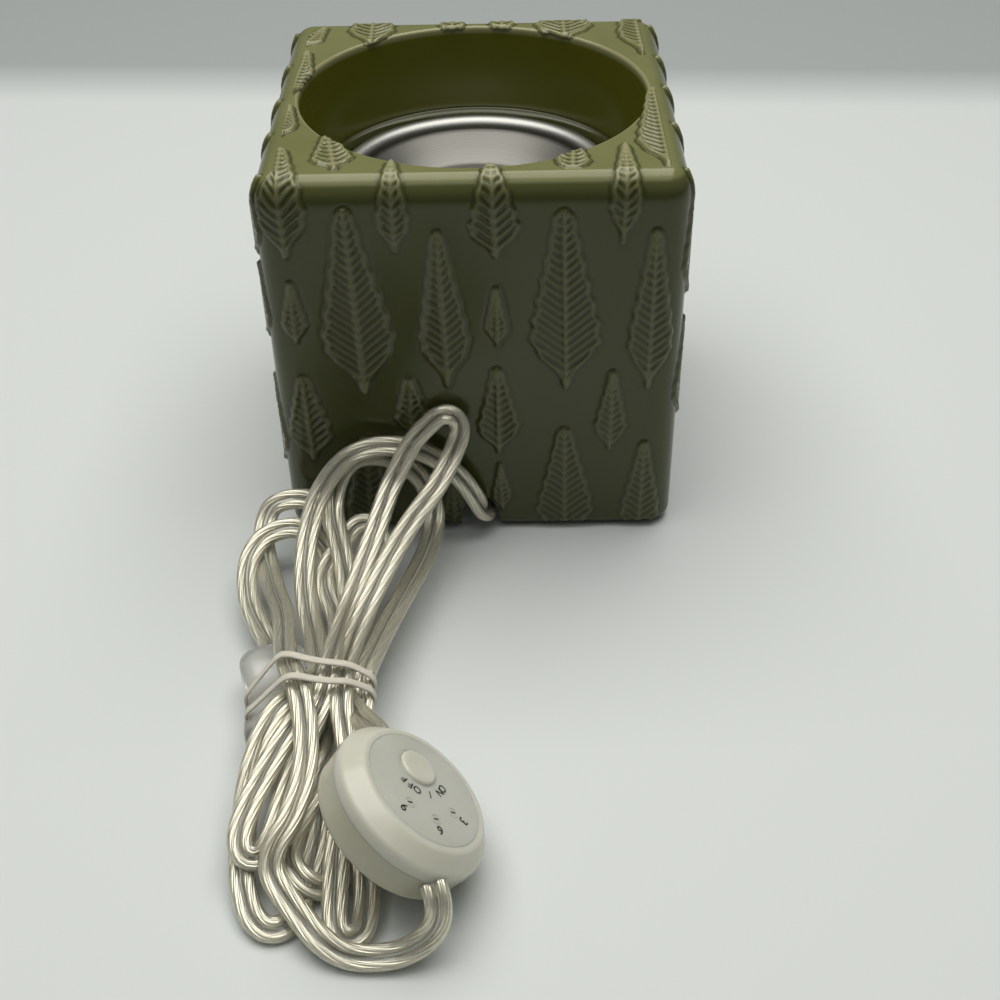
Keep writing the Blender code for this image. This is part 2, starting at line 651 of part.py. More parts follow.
def base_parts(steel, screw_steel, rubber):
    half = CAVITY_HALF - PLATE_PLAY
    bm = bmesh.new()
    add_prism(bm, rounded_rectangle(half, half, PLATE_CORNER, steps=3), PLATE_BOTTOM, PLATE_TOP)
    plate = finish("base_plate", bm, steel)

    bm = bmesh.new()
    low, high = PLATE_BOTTOM - CUT_OVER, PLATE_TOP + CUT_OVER
    for spot in square_places(LUG_PITCH) + post_places() + clamp_screw_places():
        add_disc(bm, SCREW_RADIUS + HOLE_PLAY, low, high, 12, spot)
    slot_depth = CAVITY_HALF + CLAMP_Y - CLAMP_BLOCK[1] / 2 - GAP
    cord_slot = rounded_rectangle(NOTCH_WIDTH / 2, slot_depth, NOTCH_WIDTH / 4, (0, -CAVITY_HALF), 3)
    add_prism(bm, cord_slot, low, high)
    for side in (-1, 1):
        for row in range(VENT_COUNT):
            centre = (side * VENT_X, VENT_FIRST_Y + row * VENT_PITCH)
            vent = rounded_rectangle(VENT_LENGTH / 2, VENT_WIDTH / 2, VENT_WIDTH * 0.48, centre, 2)
            add_prism(bm, vent, low, high)
    boolean(plate, cutter("plate_cuts", bm))

    plate_screws("base_screw", square_places(LUG_PITCH), LUG_BOTTOM + SCREW_REACH - GAP, screw_steel)

    for number, (x, y) in enumerate(square_places(FOOT_PITCH), 1):
        bm = bmesh.new()
        top = PLATE_BOTTOM - GAP
        profile = [(0, top), (FOOT_RADIUS, top), (FOOT_RADIUS, top * 0.55), (FOOT_RADIUS * 0.82, 0), (0, 0)]
        add_turned(bm, profile, 24)
        finish(f"rubber_foot_{number}", bm, rubber, at=(x, y, 0))


def post_parts(steel, screw_steel):
    seat = TRAY_FLOOR_BOTTOM - GAP
    for number, (x, y) in enumerate(post_places(), 1):
        bm = bmesh.new()
        tip = TRAY_FLOOR_TOP + GAP + POST_NUT_HEIGHT
        bottom = PLATE_TOP + GAP
        well = bottom + SCREW_REACH
        bore = SCREW_RADIUS + GAP
        add_turned(bm, [(0, tip), (POST_STUD_RADIUS, tip), (POST_STUD_RADIUS, seat), (POST_RADIUS, seat),
                        (POST_RADIUS, bottom), (bore, bottom), (bore, well), (0, well)], SMALL_SIDES)
        finish(f"heater_post_{number}", bm, steel, at=(x, y, 0))

    plate_screws("post_screw", post_places(), PLATE_TOP + SCREW_REACH - GAP, screw_steel)
    for number, (x, y) in enumerate(post_places(), 1):
        bm = bmesh.new()
        add_nut(bm, POST_NUT_RADIUS, POST_STUD_RADIUS, TRAY_FLOOR_TOP + GAP, POST_NUT_HEIGHT)
        finish(f"tray_nut_{number}", bm, screw_steel, at=(x, y, 0))


def heater_parts(looks):
    bore = STUD_RADIUS + GAP
    bm = bmesh.new()
    tail = TRAY_FLOOR_BOTTOM - STUD_TAIL
    add_turned(bm, [(0, HOT_PLATE_TOP), (PLATE_RADIUS, HOT_PLATE_TOP), (PLATE_RADIUS, HOT_PLATE_BOTTOM),
                    (STUD_RADIUS, HOT_PLATE_BOTTOM), (STUD_RADIUS, tail), (0, tail)])
    finish("heat_plate", bm, looks["aluminium"])

    for name, radius, top, thickness, look in (
            ("mica_upper", MICA_RADIUS, MICA_UPPER_TOP, MICA_THICKNESS, "mica"),
            ("heating_element", ELEMENT_RADIUS, ELEMENT_TOP, ELEMENT_THICKNESS, "element"),
            ("mica_lower", MICA_RADIUS, MICA_LOWER_TOP, MICA_THICKNESS, "mica"),
            ("clamp_disc", CLAMP_RADIUS, CLAMP_TOP, CLAMP_THICKNESS, "steel")):
        bm = bmesh.new()
        add_washer(bm, radius, bore, top - thickness, top, 32)
        finish(name, bm, looks[look])

    bm = bmesh.new()
    add_washer(bm, BUSH_RADIUS, bore, BUSH_TOP - BUSH_HEIGHT, BUSH_TOP, 24)
    finish("spacer_bush", bm, looks["steatite"])

    bm = bmesh.new()
    rim = TRAY_FLOOR_TOP + TRAY_WALL_HEIGHT
    wall = TRAY_RADIUS - TRAY_SHEET
    add_turned(bm, [(bore, TRAY_FLOOR_TOP), (wall, TRAY_FLOOR_TOP), (wall, rim), (TRAY_RADIUS, rim),
                    (TRAY_RADIUS, TRAY_FLOOR_BOTTOM), (bore, TRAY_FLOOR_BOTTOM)])
    tray = finish("heater_tray", bm, looks["dark_steel"])
    bm = bmesh.new()
    low, high = TRAY_FLOOR_BOTTOM - CUT_OVER, TRAY_FLOOR_TOP + CUT_OVER
    for spot in post_places():
        add_disc(bm, POST_STUD_RADIUS + GAP, low, high, 12, spot)
    add_disc(bm, TRAY_SLOT_RADIUS, low, high, SMALL_SIDES, TRAY_SLOT_AT)
    boolean(tray, cutter("tray_holes", bm))

    bm = bmesh.new()
    add_nut(bm, NUT_RADIUS, STUD_RADIUS, TRAY_FLOOR_BOTTOM - GAP - NUT_HEIGHT, NUT_HEIGHT)
    finish("stud_nut", bm, looks["screw_steel"])


def fuse_parts(looks):
    """Thermal fuse along Y under the clamp disc, in a strap spot-welded to it."""
    level = CLAMP_BOTTOM - GAP * 2 - FUSE_RADIUS
    bm = bmesh.new()
    add_disc(bm, FUSE_RADIUS, -FUSE_LENGTH / 2, FUSE_LENGTH / 2, 12)
    bmesh.ops.rotate(bm, verts=bm.verts, matrix=Matrix.Rotation(math.radians(-90), 3, "X"))
    finish("thermal_fuse", bm, looks["fuse"], at=(FUSE_OFFSET, 0, level))

    inner = FUSE_RADIUS + GAP
    outer = inner + CLIP_SHEET
    ear = CLAMP_BOTTOM - GAP - level
    outline = [(outer + CLIP_EAR, ear), (inner, ear)] + arc((0, 0), inner, 0, -180, 6) + [(-inner, ear)]
    under = ear - CLIP_SHEET
    outline += [(-outer - CLIP_EAR, ear), (-outer - CLIP_EAR, under), (-outer, under)]
    outline += arc((0, 0), outer, -180, 0, 6) + [(outer, under), (outer + CLIP_EAR, under)]
    bm = bmesh.new()
    add_loft(bm, [[(x, y, z) for x, z in outline] for y in (-CLIP_WIDTH / 2, CLIP_WIDTH / 2)])
    finish("fuse_clip", bm, looks["steel"], at=(FUSE_OFFSET, 0, level))
    return level


def lead_parts(looks, fuse_level):
    """Crimps at the cord's end, the two leads up through the tray, and the fuse's lead to the element."""
    crimp_start = from_front(LEAD_ROUTE[0])[1] + GAP
    for name, side in (("crimp_live", 1), ("crimp_neutral", -1)):
        bm = bmesh.new()
        add_disc(bm, CRIMP_RADIUS, 0, CRIMP_LENGTH, 12)
        bmesh.ops.rotate(bm, verts=bm.verts, matrix=Matrix.Rotation(math.radians(-90), 3, "X"))
        finish(name, bm, looks["sleeve"], at=(side * CRIMP_PITCH / 2, crimp_start, TUBE_Z))

    start = crimp_start + CRIMP_LENGTH + GAP
    straight = start + LEAD_STRAIGHT
    slot_x, slot_y = TRAY_SLOT_AT
    spread = LEAD_RADIUS + GAP * 2
    below = TRAY_FLOOR_BOTTOM - LEAD_RISE
    above = TRAY_FLOOR_TOP + LEAD_STRAIGHT
    fuse_end = -FUSE_LENGTH / 2 - GAP
    live = slot_x + spread
    tube("lead_live", ((CRIMP_PITCH / 2, start, TUBE_Z), (CRIMP_PITCH / 2, straight, TUBE_Z),
                       (LIVE_BOW[0], straight + 2 * LEAD_STRAIGHT, LIVE_BOW[1]), (live, slot_y, below),
                       (live, slot_y, TRAY_FLOOR_BOTTOM), (live, slot_y, above),
                       (FUSE_OFFSET, slot_y * 0.6, fuse_level - LEAD_STRAIGHT),
                       (FUSE_OFFSET, fuse_end - LEAD_STRAIGHT, fuse_level),
                       (FUSE_OFFSET, fuse_end, fuse_level)),
         LEAD_RADIUS, 28, looks["lead_sleeve"])

    tab = ELEMENT_TOP - ELEMENT_THICKNESS / 2
    edge = ELEMENT_RADIUS + GAP * 2
    neutral = slot_x - spread
    tube("lead_neutral", ((-CRIMP_PITCH / 2, start, TUBE_Z), (-CRIMP_PITCH / 2, straight, TUBE_Z),
                          (NEUTRAL_BOW[0], straight + LEAD_STRAIGHT, NEUTRAL_BOW[1]),
                          (neutral, slot_y, below),
                          (neutral, slot_y, TRAY_FLOOR_BOTTOM), (neutral, slot_y, above),
                          (NEUTRAL_TURN, -edge - 2 * LEAD_STRAIGHT, tab - 2 * LEAD_STRAIGHT),
                          (0.0, -edge - LEAD_STRAIGHT, tab), (0.0, -edge, tab)),
         TAIL_RADIUS, 30, looks["lead_sleeve"])

    tail = FUSE_LENGTH / 2 + GAP
    outward = Vector((math.cos(TAB_ANGLE), math.sin(TAB_ANGLE), 0))
    joint = outward * edge + Vector((0, 0, tab))
    tube("fuse_lead", ((FUSE_OFFSET, tail, fuse_level), (FUSE_OFFSET, tail + LEAD_STRAIGHT, fuse_level),
                       (FUSE_OFFSET + LEAD_STRAIGHT, edge * 0.7, fuse_level),
                       (FUSE_OFFSET + LEAD_STRAIGHT, edge * 0.92, fuse_level + LEAD_STRAIGHT),
                       joint + outward * LEAD_STRAIGHT, joint),
         TAIL_RADIUS, 18, looks["lead_sleeve"])


def cord_clamp_parts(looks):
    """Saddle over the cord on the base plate, with its two screws."""
    half_x, half_y = CLAMP_BLOCK[0] / 2, CLAMP_BLOCK[1] / 2
    bottom = PLATE_TOP + GAP
    roof = TUBE_Z + CORD_TUBE_RADIUS + GAP
    throat = CORD_TUBE_RADIUS + GAP
    top = roof + CLAMP_ROOF
    round_off = CLAMP_ROOF / 2
    outline = [(half_x, bottom), (half_x, top - round_off), (half_x - round_off, top),
               (-half_x + round_off, top), (-half_x, top - round_off), (-half_x, bottom),
               (-throat, bottom), (-throat, roof), (throat, roof), (throat, bottom)]
    bm = bmesh.new()
    add_loft(bm, [[(x, y, z) for x, z in outline] for y in (-half_y, half_y)])
    saddle = finish("cord_clamp", bm, looks["black_plastic"], at=(0, CLAMP_Y, 0))
    bm = bmesh.new()
    for x, y in clamp_screw_places():
        add_disc(bm, SCREW_RADIUS + GAP, bottom - CUT_OVER, top - CLAMP_ROOF, 12, (x, y))
    boolean(saddle, cutter("clamp_holes", bm))

    plate_screws("clamp_screw", clamp_screw_places(), top - CLAMP_ROOF - GAP, looks["screw_steel"])


def wax_dish(look):
    """Pressed dish: flat floor, flared wall and a rim rolled over and down."""
    floor = DISH_FLOOR_BOTTOM + DISH_SHEET
    roll = DISH_ROLL_WIDTH / 2
    crown = (DISH_THROAT_RADIUS + roll, DISH_RIM_TOP - roll)
    upper = [(0, floor), (DISH_FLOOR_RADIUS, floor), (DISH_FLOOR_RADIUS + DISH_SHEET, floor + DISH_SHEET / 2),
             (DISH_THROAT_RADIUS - DISH_SHEET / 2, DISH_THROAT_TOP - DISH_SHEET)]
    upper += arc(crown, roll, 170, 0, 7) + [(DISH_RIM_RADIUS, DISH_RIM_TOP - roll - DISH_RIM_DROP / 3)]
    inner = roll - DISH_SHEET
    lower = [(DISH_RIM_RADIUS - DISH_SHEET, DISH_RIM_TOP - roll - DISH_RIM_DROP / 3)]
    lower += arc(crown, inner, 0, 170, 7)
    lower += [(DISH_THROAT_RADIUS + DISH_SHEET / 2, DISH_THROAT_TOP - DISH_SHEET * 1.8),
              (DISH_FLOOR_RADIUS + DISH_SHEET * 1.6, DISH_FLOOR_BOTTOM + DISH_SHEET / 3),
              (DISH_FLOOR_RADIUS, DISH_FLOOR_BOTTOM), (0, DISH_FLOOR_BOTTOM)]
    bm = bmesh.new()
    add_turned(bm, upper + lower)
    finish("wax_dish", bm, look)


def timer_frame():
    """Empty at the puck's centre: X along the cord towards the cube, Z out of the face."""
    frame = bpy.data.objects.new("timer_frame", None)
    place(frame)
    turn = (Matrix.Rotation(TIMER_HEADING, 4, "Z") @ Matrix.Rotation(TIMER_TILT, 4, "Y")
            @ Matrix.Rotation(TIMER_SPIN, 4, "Z"))
    frame.matrix_basis = Matrix.Translation(from_front(TIMER_CENTRE)) @ turn
    return frame


def cord_slots(name, frame):
    bm = bmesh.new()
    half = CORD_SLOT_WIDTH / 2
    add_loft(bm, [[(x, y, z) for y, z in arc((0, 0), half, 0, 330, 11)]
                  for x in (-TIMER_RADIUS - CUT_OVER, TIMER_RADIUS + CUT_OVER)])
    return cutter(name, bm, frame)


def timer_shells(looks, frame):
    inner = TIMER_RADIUS - TIMER_WALL
    seam = GAP / 2
    slots = cord_slots("timer_cord_slots", frame)
    screw_spots = [(0, side * TIMER_SCREW_AT) for side in (-1, 1)]

    bm = bmesh.new()
    face = TIMER_UPPER_HEIGHT
    recess = face - LABEL_THICKNESS - GAP
    pad = TIMER_FACE_RADIUS - LABEL_PLAY
    add_turned(bm, [(0, recess), (pad, recess), (pad, face), (TIMER_FACE_RADIUS + LABEL_PLAY, face),
                    (TIMER_RADIUS, TIMER_BAND_HEIGHT), (TIMER_RADIUS, seam), (inner, seam),
                    (inner, TIMER_BAND_HEIGHT - TIMER_WALL / 3),
                    (TIMER_FACE_RADIUS - TIMER_WALL / 2, TIMER_FACE_BOTTOM), (0, TIMER_FACE_BOTTOM)], 40)
    upper = finish("timer_upper_shell", bm, looks["milky"], frame)
    bm = bmesh.new()
    for spot in screw_spots:
        boss_top = TIMER_FACE_BOTTOM + TIMER_WALL / 4
        add_washer(bm, TIMER_BOSS_RADIUS, SCREW_RADIUS + GAP, seam, boss_top, 12, spot)
    boolean(upper, cutter("upper_bosses", bm, frame), "UNION")
    bm = bmesh.new()
    add_disc(bm, BUTTON_RADIUS + GAP, TIMER_FACE_BOTTOM - CUT_OVER, face + CUT_OVER, 24, (BUTTON_AT, 0))
    for spot in led_places():
        add_disc(bm, LED_RADIUS + GAP, TIMER_FACE_BOTTOM - CUT_OVER, face + CUT_OVER, 12, spot)
    boolean(upper, cutter("face_holes", bm, frame))
    boolean(upper, slots)

    bm = bmesh.new()
    depth = TIMER_LOWER_DEPTH
    deck = -depth + TIMER_WALL
    fillet = TIMER_EDGE_RADIUS / 2
    edge = arc((TIMER_RADIUS - TIMER_EDGE_RADIUS, -depth + TIMER_EDGE_RADIUS), TIMER_EDGE_RADIUS, 0, -90, 4)
    add_turned(bm, [(0, deck), (inner - fillet, deck), (inner, deck + fillet), (inner, -seam),
                    (TIMER_RADIUS, -seam)] + edge + [(0, -depth)], 40)
    lower = finish("timer_lower_shell", bm, looks["milky"], frame)
    boolean(lower, slots)
    bm = bmesh.new()
    for spot in screw_spots:
        add_disc(bm, TIMER_BOSS_RADIUS, -depth + TIMER_WALL / 2, -seam, 12, spot)
    boolean(lower, cutter("lower_bosses", bm, frame), "UNION")
    bm = bmesh.new()
    for spot in screw_spots:
        shank = SCREW_RADIUS + GAP
        head = SCREW_HEAD_RADIUS * 0.75 + GAP
        floor = -depth + SCREW_HEAD_HEIGHT + GAP
        out = -depth - CUT_OVER
        add_turned(bm, [(0, CUT_OVER), (shank, CUT_OVER), (shank, floor), (head, floor), (head, out),
                        (0, out)], 12, spot)
    boolean(lower, cutter("lower_screw_holes", bm, frame))

    for number, (x, y) in enumerate(screw_spots, 1):
        bm = bmesh.new()
        add_screw(bm, TIMER_FACE_BOTTOM - GAP * 2, -depth + SCREW_HEAD_HEIGHT, SCREW_HEAD_RADIUS * 0.75,
                  SCREW_HEAD_HEIGHT * 0.7)
        finish(f"timer_screw_{number}", bm, looks["screw_steel"], frame, (x, y, 0))


def led_places():
    angles = [math.radians(a) for a in LED_ANGLES]
    return [(LED_CIRCLE * math.cos(a), LED_CIRCLE * math.sin(a)) for a in angles]


def timer_face(looks, frame):
    bm = bmesh.new()
    top = TIMER_UPPER_HEIGHT
    add_disc(bm, TIMER_FACE_RADIUS - LABEL_PLAY - GAP, top - LABEL_THICKNESS, top, 40)
    label = finish("timer_label", bm, looks["label"], frame)
    bm = bmesh.new()
    add_disc(bm, BUTTON_RADIUS + GAP, top - CUT_OVER, top + CUT_OVER, 24, (BUTTON_AT, 0))
    for spot in led_places():
        add_disc(bm, LED_RADIUS + GAP, top - CUT_OVER, top + CUT_OVER, 12, spot)
    boolean(label, cutter("label_holes", bm, frame))

    bm = bmesh.new()
    ledge = TIMER_FACE_BOTTOM - GAP
    foot = ledge - BUTTON_FLANGE_THICKNESS
    crown = top + BUTTON_PROUD
    wide = BUTTON_RADIUS + BUTTON_FLANGE
    add_turned(bm, [(0, crown), (BUTTON_RADIUS * 0.55, crown - BUTTON_PROUD * 0.15),
                    (BUTTON_RADIUS * 0.88, crown - BUTTON_PROUD * 0.5), (BUTTON_RADIUS, crown - BUTTON_PROUD),
                    (BUTTON_RADIUS, ledge), (wide, ledge), (wide, foot), (0, foot)], 24)
    finish("timer_button", bm, looks["milky"], frame, (BUTTON_AT, 0, 0))
    return foot


def timer_inside(looks, frame, button_foot):
    bm = bmesh.new()
    add_disc(bm, BOARD_RADIUS, BOARD_TOP - BOARD_THICKNESS, BOARD_TOP, 32)
    board = finish("circuit_board", bm, looks["board"], frame)
    bm = bmesh.new()
    for side in (-1, 1):
        spot = (0, side * TIMER_SCREW_AT)
        add_disc(bm, TIMER_BOSS_RADIUS + GAP, -TIMER_LOWER_DEPTH, TIMER_UPPER_HEIGHT, 12, spot)
    boolean(board, cutter("board_boss_holes", bm, frame))

    bm = bmesh.new()
    deck = BOARD_TOP + GAP
    plunger = button_foot - BUTTON_TRAVEL - GAP
    shoulder = plunger - BUTTON_TRAVEL
    half = TACT_SIZE / 2
    add_prism(bm, rounded_rectangle(half, half, SMALL_CORNER, steps=1), deck, shoulder)
    switch = finish("tact_switch", bm, looks["black_plastic"], frame, (BUTTON_AT, 0, 0))
    bm = bmesh.new()
    add_disc(bm, TACT_PLUNGER_RADIUS, shoulder - TACT_PLUNGER_RADIUS / 2, plunger, 12)
    boolean(switch, cutter("tact_plunger", bm, frame, (BUTTON_AT, 0, 0)), "UNION")

    for number, (x, y) in enumerate(led_places(), 1):
        bm = bmesh.new()
        top = TIMER_UPPER_HEIGHT - LABEL_THICKNESS
        add_turned(bm, [(0, top), (LED_RADIUS * 0.7, top - LED_RADIUS * 0.3), (LED_RADIUS, top - LED_RADIUS),
                        (LED_RADIUS, deck), (0, deck)], 12)
        finish(f"timer_led_{number}", bm, looks["led"], frame, (x, y, 0))

    below = BOARD_TOP - BOARD_THICKNESS - GAP
    bm = bmesh.new()
    size_x, size_y, size_z = RELAY_SIZE
    relay = rounded_rectangle(size_x / 2, size_y / 2, SMALL_CORNER, RELAY_AT, 1)
    add_prism(bm, relay, below - size_z, below)
    finish("timer_relay", bm, looks["black_plastic"], frame)

    bm = bmesh.new()
    add_disc(bm, CAPACITOR_RADIUS, -CAPACITOR_LENGTH / 2, CAPACITOR_LENGTH / 2, 12)
    bmesh.ops.rotate(bm, verts=bm.verts, matrix=Matrix.Rotation(math.radians(90), 3, "Y"))
    finish("timer_capacitor", bm, looks["sleeve"], frame, (*CAPACITOR_AT, below - CAPACITOR_RADIUS))


def plug_outline():
    """Plan outline of the plug from its cord end (y 0) to its face (y negative)."""
    right = [(PLUG_NECK / 2, 0), (PLUG_SHOULDER / 2 - PLUG_EDGE, -PLUG_LENGTH * 0.06),
             (PLUG_SHOULDER / 2, -PLUG_LENGTH * 0.14), (PLUG_SHOULDER / 2, -PLUG_LENGTH * 0.22),
             (PLUG_WAIST / 2, -PLUG_LENGTH * 0.48), (PLUG_WAIST / 2, -PLUG_LENGTH * 0.62),
             (PLUG_FACE / 2, -PLUG_LENGTH * 0.86), (PLUG_FACE / 2, -PLUG_LENGTH)]
    return [(-x, y) for x, y in right] + right[::-1]


def plug_frame():
    """Empty where the cord enters the plug, whose blades point along its -Y."""
    frame = bpy.data.objects.new("plug_frame", None)
    place(frame)
    frame.matrix_basis = Matrix.Translation(from_front(PLUG_AT)) @ Matrix.Rotation(PLUG_TURN, 4, "Z")
    return frame


def plug_parts(looks, frame):
    bm = bmesh.new()
    half = PLUG_THICKNESS / 2
    outline = plug_outline()
    loops = []
    for z, share in ((-half, 0.84), (-half + PLUG_EDGE, 1), (half - PLUG_EDGE, 1), (half, 0.84)):
        loops.append([(x * share, y, z) for x, y in outline])
    add_loft(bm, loops)
    finish("plug_body", bm, looks["clear"], frame)

    for name, side in (("plug_blade_live", 1), ("plug_blade_neutral", -1)):
        bm = bmesh.new()
        tip = PLUG_EDGE * 0.6
        half_w, half_t = BLADE_WIDTH / 2, BLADE_THICKNESS / 2
        loops = []
        for y, grow in ((0, 0), (-BLADE_LENGTH + tip, 0), (-BLADE_LENGTH, -half_t * 0.5)):
            loops.append([(sx * (half_t + grow), y, sz * (half_w + grow)) for sx, sz in
                          ((1, 1), (-1, 1), (-1, -1), (1, -1))])
        add_loft(bm, loops)
        finish(name, bm, looks["brass"], frame, (side * BLADE_PITCH / 2, -PLUG_LENGTH - GAP, 0))


def hank_parts(looks, plug):
    """One closed solid of the hank's outer shape, with a bay for the plug, and its rubber band."""
    loops = []
    for y, x, z, half_x, half_z in HANK_SECTIONS:
        loop = []
        for i in range(HANK_SIDES):
            angle = 2 * math.pi * (i + 0.5) / HANK_SIDES
            c, s = math.cos(angle), math.sin(angle)
            loop.append(from_front((x + half_x * math.copysign(abs(c) ** HANK_SQUARENESS, c), y,
                                    z + half_z * math.copysign(abs(s) ** HANK_SQUARENESS, s))))
        loops.append(loop)
    bm = bmesh.new()
    add_loft(bm, loops)
    hank = finish("cord_hank", bm, looks["clear"])

    bm = bmesh.new()
    half_x = PLUG_FACE / 2 + BAY_PLAY
    bay_end = -PLUG_LENGTH - BLADE_LENGTH - BAY_PLAY * 2
    outside = -half_x * 3
    bay = [(outside, BAY_PLAY), (outside, bay_end), (half_x, bay_end), (half_x, BAY_PLAY)]
    add_prism(bm, bay, -PLUG_AT[2] - CUT_OVER, PLUG_THICKNESS / 2 + BAY_PLAY)
    boolean(hank, cutter("plug_bay", bm, plug))

    bm = bmesh.new()
    rings = []
    for grow in (0, BAND_THICKNESS):
        half_x, half_z = BAND_HALF[0] + grow, BAND_HALF[1] + grow
        outline = rounded_rectangle(half_x, half_z, BAND_CORNER + grow, BAND_CENTRE, 4)
        rings.append([[bm.verts.new(from_front((x, y, z))) for x, z in outline]
                      for y in (BAND_Y - BAND_WIDTH / 2, BAND_Y + BAND_WIDTH / 2)])
    (inner_a, inner_b), (outer_a, outer_b) = rings
    for lower, upper in ((inner_a, inner_b), (inner_b, outer_b), (outer_b, outer_a), (outer_a, inner_a)):
        bridge(bm, lower, upper)
    finish("rubber_band", bm, looks["band"])


def cord_tubes(look):
    for name, route, count in (("cord_lead", LEAD_ROUTE, 20), ("cord_to_timer", TO_TIMER_ROUTE, 7),
                               ("cord_from_timer", FROM_TIMER_ROUTE, 8)):
        points = [from_front(p) for p in route]
        tube(name, points, CORD_TUBE_RADIUS, count, look, CORD_BEVEL_RESOLUTION)


def make_looks():
    return {
        "glaze": material("olive_glaze", (0.085, 0.095, 0.028), 0.18),
        "aluminium": material("satin_aluminium", (0.82, 0.82, 0.81), 0.3, 1.0),
        "steel": material("plated_steel", (0.55, 0.56, 0.57), 0.35, 1.0),
        "dark_steel": material("dark_steel", (0.08, 0.08, 0.085), 0.45, 1.0),
        "screw_steel": material("screw_steel", (0.42, 0.42, 0.43), 0.4, 1.0),
        "brass": material("brass", (0.70, 0.52, 0.22), 0.3, 1.0),
        "rubber": material("foot_rubber", (0.03, 0.03, 0.03), 0.85),
        "mica": material("mica_sheet", (0.55, 0.48, 0.36), 0.5),
        "element": material("heating_strip", (0.36, 0.30, 0.24), 0.5, 0.3),
        "steatite": material("steatite", (0.82, 0.80, 0.74), 0.6),
        "fuse": material("fuse_case", (0.78, 0.74, 0.62), 0.4, 0.6),
        "sleeve": material("crimp_sleeve", (0.05, 0.07, 0.16), 0.5),
        "lead_sleeve": material("glass_fibre_sleeve", (0.82, 0.80, 0.72), 0.8),
        "black_plastic": material("black_plastic", (0.02, 0.02, 0.02), 0.45),
        "milky": material("milky_plastic", (0.78, 0.77, 0.70), 0.35),
        "label": material("label_film", (0.72, 0.72, 0.68), 0.4),
        "board": material("board_green", (0.03, 0.16, 0.07), 0.5),
        "led": material("led_clear", (0.85, 0.85, 0.80), 0.2),
        "clear": material("clear_cord", (0.74, 0.74, 0.66), 0.2),
        "band": material("rubber_band", (0.66, 0.61, 0.50), 0.6),
    }


def main():
    clear_scene()
    looks = make_looks()
    ceramic_body(looks["glaze"])
    base_parts(looks["dark_steel"], looks["screw_steel"], looks["rubber"])
    post_parts(looks["steel"], looks["screw_steel"])
    heater_parts(looks)
    fuse_level = fuse_parts(looks)
    lead_parts(looks, fuse_level)
    cord_clamp_parts(looks)
    wax_dish(looks["aluminium"])
    frame = timer_frame()
    timer_shells(looks, frame)
    button_foot = timer_face(looks, frame)
    timer_inside(looks, frame, button_foot)
    plug = plug_frame()
    plug_parts(looks, plug)
    hank_parts(looks, plug)
    cord_tubes(looks["clear"])


main()
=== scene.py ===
"""Looks of the electric wax warmer: glazed leaf relief, satin dish, clear cord, timer, band and plug."""
import json
import math

import bmesh
import bpy
import numpy as np
from mathutils import Matrix, Vector


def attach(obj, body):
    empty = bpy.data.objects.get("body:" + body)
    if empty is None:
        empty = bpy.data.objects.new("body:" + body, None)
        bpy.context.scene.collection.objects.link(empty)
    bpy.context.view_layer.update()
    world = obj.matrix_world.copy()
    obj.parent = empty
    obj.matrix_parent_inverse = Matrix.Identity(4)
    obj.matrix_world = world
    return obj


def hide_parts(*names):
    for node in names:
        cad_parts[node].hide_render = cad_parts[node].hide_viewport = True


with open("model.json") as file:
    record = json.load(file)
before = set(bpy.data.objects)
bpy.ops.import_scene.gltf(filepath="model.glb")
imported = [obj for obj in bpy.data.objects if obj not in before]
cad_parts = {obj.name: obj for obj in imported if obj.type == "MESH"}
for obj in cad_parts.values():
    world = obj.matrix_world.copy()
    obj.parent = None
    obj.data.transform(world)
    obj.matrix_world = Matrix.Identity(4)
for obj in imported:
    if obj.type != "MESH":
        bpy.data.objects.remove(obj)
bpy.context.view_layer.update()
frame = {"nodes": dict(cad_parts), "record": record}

MM = 0.001
TINY = 1e-6
QUARTER = math.pi / 2
TURNS = ((1, 0), (0, 1), (-1, 0), (0, -1))
QUADRANTS = ((-1, -1), (1, -1), (1, 1), (-1, 1))

# Camera of the photograph, in metres and degrees
CAMERA_AT = (0.00827, -0.41774, 0.29818)
CAMERA_PITCH = 38.8515
CAMERA_YAW = -0.31505
CAMERA_ROLL = -1.09936
CAMERA_LENS = 50.277
SENSOR = 36.0

# Soft light from above: name, place, target, size, watts
LAMPS = (
    ("overhead", (-0.03, 0.22, 1.25), (-0.02, 0.10, 0.05), (1.5, 1.22), 18.2),
    ("front_fill", (-0.03, -0.67, 1.25), (-0.03, -0.60, 0.05), (1.5, 0.56), 2.4),
)
LAMP_COLOUR = (1.0, 0.99, 0.96)
ROOM_COLOUR = (0.90, 0.96, 1.0, 1.0)
ROOM_LIGHT = 0.10

# Table top, in metres: behind the cube it turns grey as painted shade, along a line slightly askew
FLOOR_HALF = 2.4
FLOOR_PALE = (0.70, 0.73, 0.71)
FLOOR_SHADE = (0.40, 0.425, 0.415)
FLOOR_SHADE_SPAN = (0.285, 0.335)
FLOOR_SKEW = 0.06
FLOOR_ROUGH = 0.55
FLOOR_SHINE = 0.25

